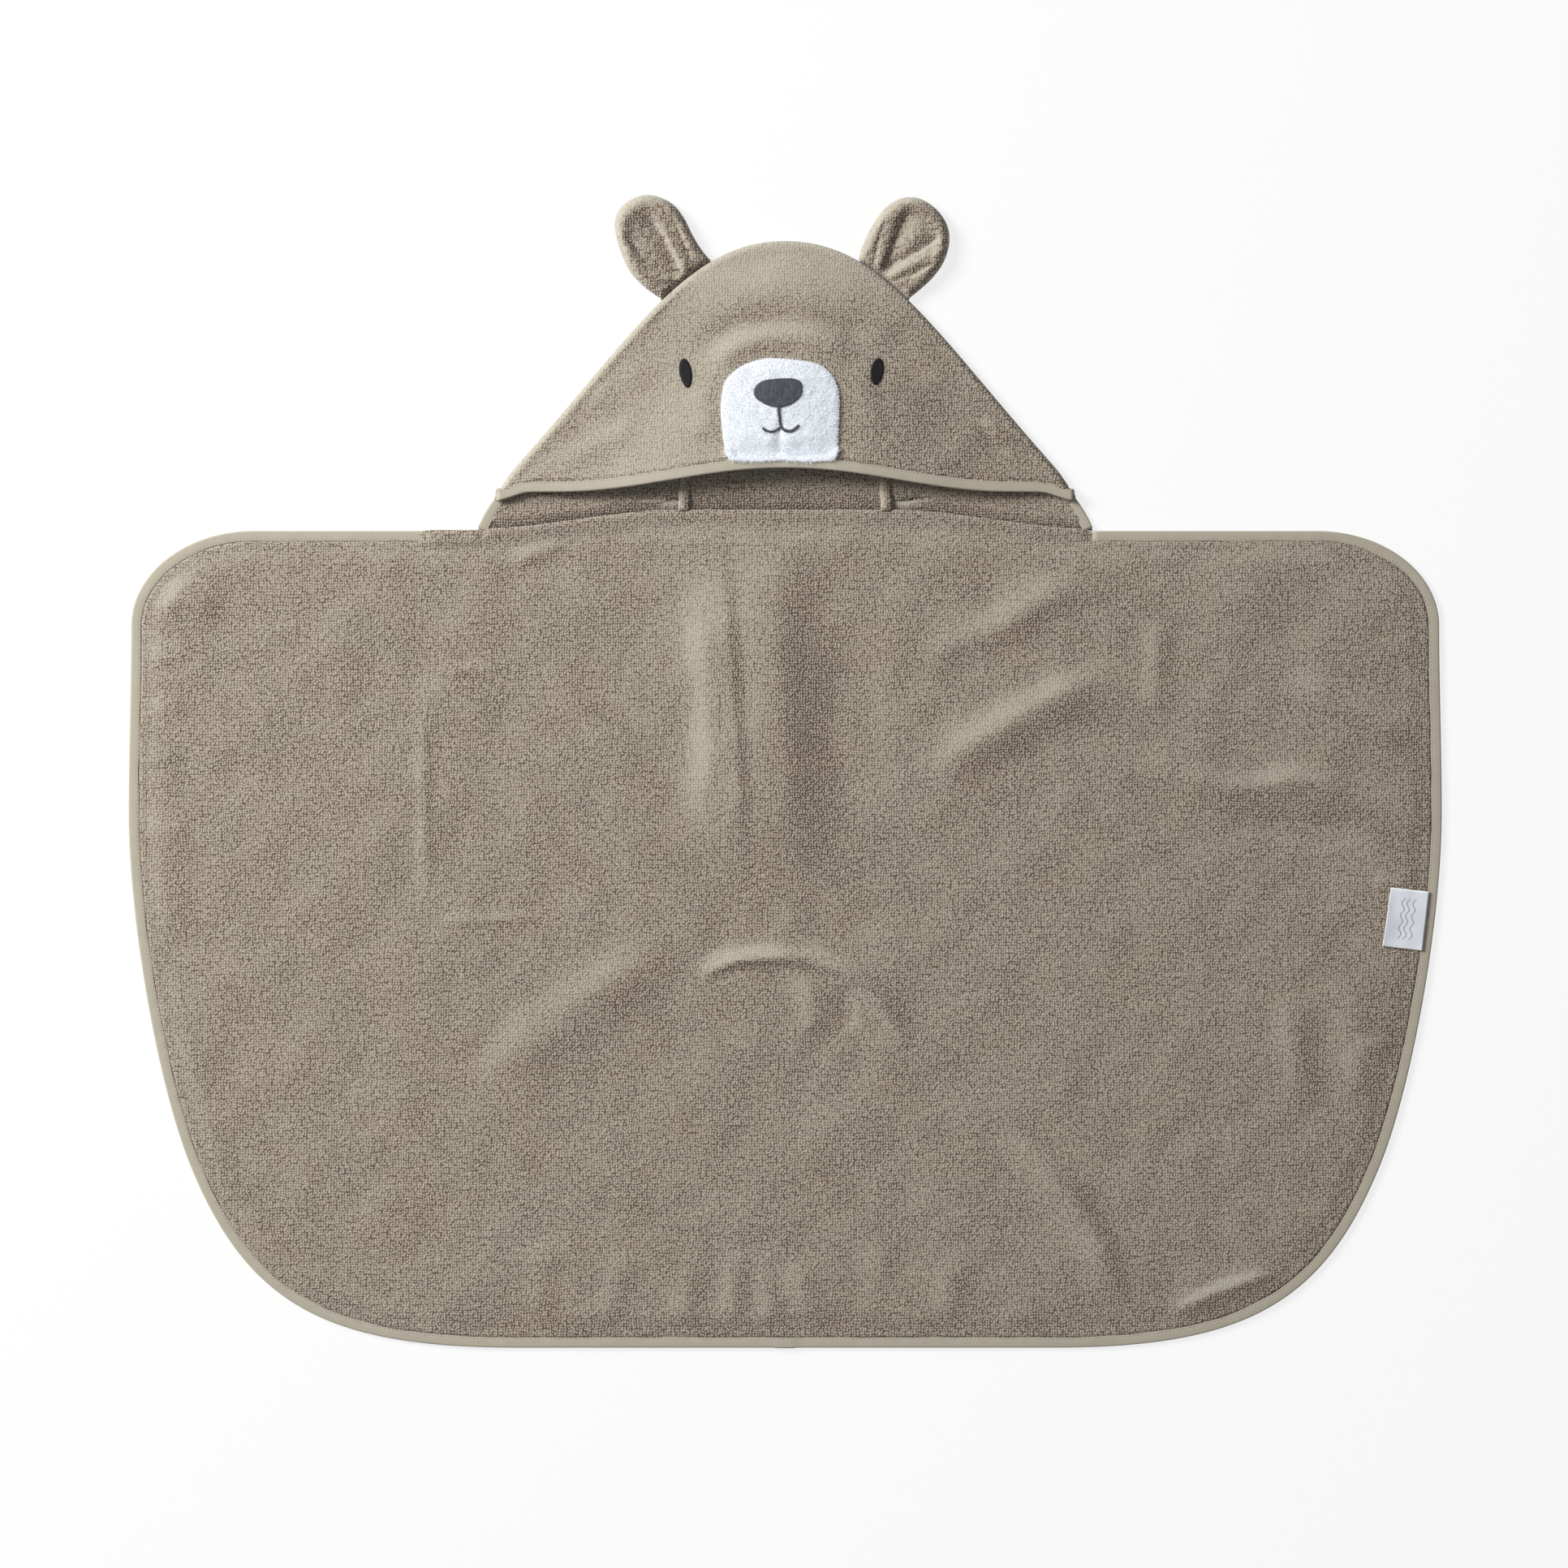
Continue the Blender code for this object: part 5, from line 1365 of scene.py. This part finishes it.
# ---------------------------------------------------------------- nose, mouth and eyes
# Dense machine embroidery in charcoal thread, laid in side-by-side satin stitches that fill each shape.
# The nose and the mouth are worked through the plush, and the eyes through the terry of the face.

THREAD_RIB, RIB_DEPTH = 0.0011, 0.00030
EMBROIDERY, EMBROIDERY_EDGE = 0.0011, 0.0009
NOSE_DROP, MOUTH_DROP = 0.0030, 0.0028


def charcoal_finish(name, light, dark):
    """Embroidery thread: a soft sheen, with a tone that changes a little from stitch to stitch."""
    made, tree = blank_material(name)
    flat = add(tree, "ShaderNodeUVMap", uv_map="cloth").outputs["UV"]
    drawn = add(tree, "ShaderNodeMapping", {"Vector": flat, "Scale": (1.0, 0.25, 1.0)})
    strands = add(tree, "ShaderNodeTexNoise", {"Vector": drawn.outputs[0], "Scale": 620.0, "Detail": 3.0})
    strand = strands.outputs["Fac"]
    mixed = add(tree, "ShaderNodeMix", {0: strand, 6: linear(dark), 7: linear(light)}, data_type="RGBA")
    bump = add(tree, "ShaderNodeBump", {"Strength": 0.4, "Distance": 0.0002, "Height": strand})
    finish_material(tree, mixed.outputs[2], 0.65, bump.outputs[0], Specular_IOR_Level=0.22)
    return made


nose_thread = charcoal_finish("charcoal_satin_stitch", "#575a64", "#24262c")
eye_thread = charcoal_finish("black_satin_stitch", "#1e1c20", "#100f12")


def embroidered(name, outline, surface, pitch, finish, lean=0.0, ribs_way=(1.0, 0.0)):
    """A raised shape filled with satin stitches that lie side by side across ribs_way."""
    outline = evenly(np.concatenate([outline, outline[:1]]), pitch * 1.3)[:-1]
    outline = outline[::-1] if np.sum(np.cross(outline, np.roll(outline, -1, 0))) < 0 else outline
    plan, faces = filled(outline, pitch, 0.55 * pitch)
    facing = [np.cross(plan[b] - plan[a], plan[c] - plan[a]) > 0 for a, b, c in faces]
    faces = [tuple(map(int, face if up else face[::-1])) for face, up in zip(faces, facing)]
    across = plan @ np.array(ribs_way) + lean * plan[:, 1]
    ribs = np.abs(np.sin(math.pi * across / THREAD_RIB))
    ground = heights_on(surface, plan) + 0.0002
    rise = np.sqrt(np.clip(distances(plan, near_tree(outline)) / EMBROIDERY_EDGE, 0, 1))
    top = ground + 0.0001 + rise * (EMBROIDERY - RIB_DEPTH + RIB_DEPTH * ribs)
    rim = list(range(len(outline)))
    made = plain_object(name, slab(name, plan, faces, top, ground, rim), finish)
    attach(made, "hood")
    return made


# Outline of the nose, in mm from the middle of the straight top edge.
NOSE_LINE = [
    (-23.8, 107), (-22.0, 111.8), (-17.0, 115.4), (-9.0, 116.9), (-1, 117.4), (7.0, 117.0), (11.4, 114.9),
    (13.3, 110), (12.2, 104.4), (8.0, 99.4), (2.5, 96.3), (-4.6, 94.9), (-12.4, 96.2), (-18.4, 99.2),
    (-22.6, 102.8),
]
muzzle_surface = surface_of(muzzle_mesh)
nose_line = closed_curve(NOSE_LINE) + shift[:2] + [0, -NOSE_DROP]
nose = embroidered("nose_satin_stitch", nose_line, muzzle_surface, 0.00040, nose_thread)
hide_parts("nose_embroidery")

for name, side, middle, size in (
    ("left_eye", -1, (-75.6, 119.0), (9.4, 22.6)),
    ("right_eye", 1, (69.6, 120.2), (10.0, 20.8)),
):
    turn = np.linspace(0, 2 * math.pi, 61)[:-1]
    # The lower end is more pointed than the upper one.
    narrow = 1 - 0.16 * np.clip(-np.sin(turn), 0, 1)
    x, y = size[0] / 2 * np.cos(turn) * narrow, size[1] / 2 * np.sin(turn)
    line = np.stack([middle[0] + x + side * 0.13 * y, middle[1] + y], 1) / 1000 + shift[:2]
    eye = embroidered(name + "_satin_stitch", line, hood_surface, 0.00036, eye_thread, ribs_way=(0.25, 0.97))
    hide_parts(name + "_embroidery")

# The mouth's two cords: radius, then the points that each runs through, all in mm.
MOUTH_CORDS = [
    (1.15, [(-5.2, 96.0), (-4.7, 90.2), (-3.8, 83.4), (-2.4, 79.3), (0.9, 77.0), (5.3, 77.1), (10.8, 81.4)]),
    (0.95, [(-17.4, 79.6), (-14.5, 77.2), (-10.2, 76.3), (-6.2, 77.6), (-3.6, 80.0)]),
]


def cord_sections(points, radius, surface, corners=12):
    """A plied cord along a smooth line, half sunk in the cloth, with its plies as a slow twist."""
    line = evenly(curved(points), 0.00028) + shift[:2] + [0, -MOUTH_DROP]
    run = length_along(line)
    ways = inward_ways(line)
    ground = heights_on(surface, line) + 0.0006
    angle = np.linspace(0, 2 * math.pi, corners, endpoint=False)
    ends = np.sqrt(np.clip(np.minimum(run, run[-1] - run) / radius + 0.05, 0.05, 1))
    sections = np.zeros((len(line), corners, 3))
    for i, around in enumerate(angle):
        reach = radius * ends * (1 + 0.13 * np.sin(2 * math.pi * run / 0.0022 + 2 * around))
        sections[:, i, :2] = line + ways * (reach * math.cos(around))[:, None]
        sections[:, i, 2] = ground + 0.75 * reach * math.sin(around)
    return sections, run


cords = []
for radius, points in MOUTH_CORDS:
    cords.append(swept("mouth_cord", *cord_sections(points, radius / 1000, muzzle_surface)))
joined = bmesh.new()
for cord in cords:
    joined.from_mesh(cord)
mouth_mesh = bpy.data.meshes.new("mouth_stitches")
joined.to_mesh(mouth_mesh)
joined.free()
mouth = plain_object("mouth_stitches", mouth_mesh, nose_thread)
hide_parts("mouth_embroidery")
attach(mouth, "hood")

# ---------------------------------------------------------------- label
# A loop of woven satin ribbon, folded in two and caught in the right-hand binding.
# It carries three woven wave lines and lies nearly flat, with its fold curling up a little.

LABEL_SIZE = (0.0285, 0.0452)
LABEL_CLOTH, LABEL_SLOT = 0.0005, 0.0004
LABEL_DEPTH = 0.298
WAVE_LINES, WAVE_LENGTH, WAVE_SWING = (-0.0135, -0.0175, -0.0090), 0.0095, 0.0011

satin, tree = blank_material("woven_satin_ribbon")
flat = add(tree, "ShaderNodeUVMap", uv_map="cloth").outputs["UV"]
parts = add(tree, "ShaderNodeSeparateXYZ", {0: flat})
lines = None
for middle_line in WAVE_LINES:
    turns = {0: parts.outputs[1], 1: 2 * math.pi / WAVE_LENGTH}
    swing = add(tree, "ShaderNodeMath", turns, operation="MULTIPLY")
    wave = add(tree, "ShaderNodeMath", {0: swing.outputs[0]}, operation="SINE")
    swung = {0: wave.outputs[0], 1: WAVE_SWING, 2: parts.outputs[0]}
    away = add(tree, "ShaderNodeMath", swung, operation="MULTIPLY_ADD")
    offset = add(tree, "ShaderNodeMath", {0: away.outputs[0], 1: -middle_line}, operation="ADD")
    gap_to = add(tree, "ShaderNodeMath", {0: offset.outputs[0]}, operation="ABSOLUTE")
    drawn = add(
        tree,
        "ShaderNodeMapRange",
        {"Value": gap_to.outputs[0], "From Min": 0.00025, "From Max": 0.00055, "To Min": 1.0, "To Max": 0.0},
    )
    if lines is None:
        lines = drawn.outputs[0]
    else:
        lines = add(tree, "ShaderNodeMath", {0: lines, 1: drawn.outputs[0]}, operation="MAXIMUM").outputs[0]
length_way = add(tree, "ShaderNodeMath", {0: parts.outputs[1]}, operation="ABSOLUTE")
kept = add(
    tree,
    "ShaderNodeMapRange",
    {"Value": length_way.outputs[0], "From Min": 0.0155, "From Max": 0.0160, "To Min": 1.0, "To Max": 0.0},
)
motif = add(tree, "ShaderNodeMath", {0: lines, 1: kept.outputs[0]}, operation="MULTIPLY")
edges = {"Value": length_way.outputs[0], "From Min": 0.0212, "From Max": 0.0217}
selvedge = add(tree, "ShaderNodeMapRange", edges)
drawn_out = add(tree, "ShaderNodeMapping", {"Vector": flat, "Scale": (1.0, 0.2, 1.0)})
weft = add(tree, "ShaderNodeTexNoise", {"Vector": drawn_out.outputs[0], "Scale": 1500.0})
ground_tones = {0: weft.outputs["Fac"], 6: linear("#d3d7df"), 7: linear("#e0e3eb")}
ground_tone = add(tree, "ShaderNodeMix", ground_tones, data_type="RGBA")
edge_tones = {0: selvedge.outputs[0], 6: ground_tone.outputs[2], 7: linear("#eceef2")}
edged = add(tree, "ShaderNodeMix", edge_tones, data_type="RGBA")
wave_tones = {0: motif.outputs[0], 6: edged.outputs[2], 7: linear("#8b8f97")}
inked = add(tree, "ShaderNodeMix", wave_tones, data_type="RGBA")
bump = add(tree, "ShaderNodeBump", {"Strength": 0.3, "Distance": 0.0001, "Height": weft.outputs["Fac"]})
finish_material(tree, inked.outputs[2], 0.42, bump.outputs[0], Sheen_Weight=0.1)

right = (bound - [0, TOP_EDGE])[: len(bound) // 2]
i = int(np.argmin(np.abs(right[:, 1] + LABEL_DEPTH)))
label_along = right[i - 1] - right[i + 1]
label_along /= np.linalg.norm(label_along)
label_in = np.array([-label_along[1], label_along[0]])
label_root = right[i] - label_along * (right[i][1] + LABEL_DEPTH) / label_along[1]
label_root = label_root + label_in * (BINDING_WIDTH + GAP) + shift[:2]

width, length = LABEL_SIZE
reach = np.concatenate([[-0.0012], np.linspace(0, width, 17)[:-1], [width - 0.0002, width]])
top_height = TERRY + GAP + 2 * LABEL_CLOTH + LABEL_SLOT
# Out along the upper side to the fold, then back along the lower side: metres from the root, then the level.
fold_level = TERRY + GAP
outside = [(w, top_height) for w in reach] + [(width + 0.0003, fold_level + 0.0007)]
outside += [(w, fold_level) for w in reach[::-1]]
within = [(w, fold_level + LABEL_CLOTH) for w in reach[:-2]] + [(width - 0.0009, fold_level + 0.0007)]
within += [(w, top_height - LABEL_CLOTH) for w in reach[:-2][::-1]]
profile = np.array(outside + within)
label_steps = np.linspace(-length / 2, length / 2, 33)
sections = np.zeros((len(label_steps), len(profile), 3))
for k, (w, z) in enumerate(profile):
    far = max(w, 0) / width
    uneven = 0.0002 * waves(label_steps, 0 * label_steps + w, 71, 0.02)
    curl = 0.0016 * far**2 + 0.0009 * far * np.cos(label_steps / length * 5.0) + uneven
    skew = -0.0006 * far * (label_steps / length * 2)
    at = label_root + label_steps[:, None] * label_along + w * label_in
    sections[:, k, :2] = at + skew[:, None] * label_in
    sections[:, k, 2] = z + curl * (far > 0) + 0.0002
label_mesh = swept("woven_ribbon_label", sections, label_steps)
flat_out = np.tile(-profile[:, 0], len(label_steps))
flat_places = np.column_stack([flat_out, np.repeat(label_steps, len(profile))])
label_mesh.uv_layers.remove(label_mesh.uv_layers["cloth"])
map_cloth(label_mesh, flat_places)
label = plain_object("woven_ribbon_label", label_mesh, satin)
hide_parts("woven_label")
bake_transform(label)
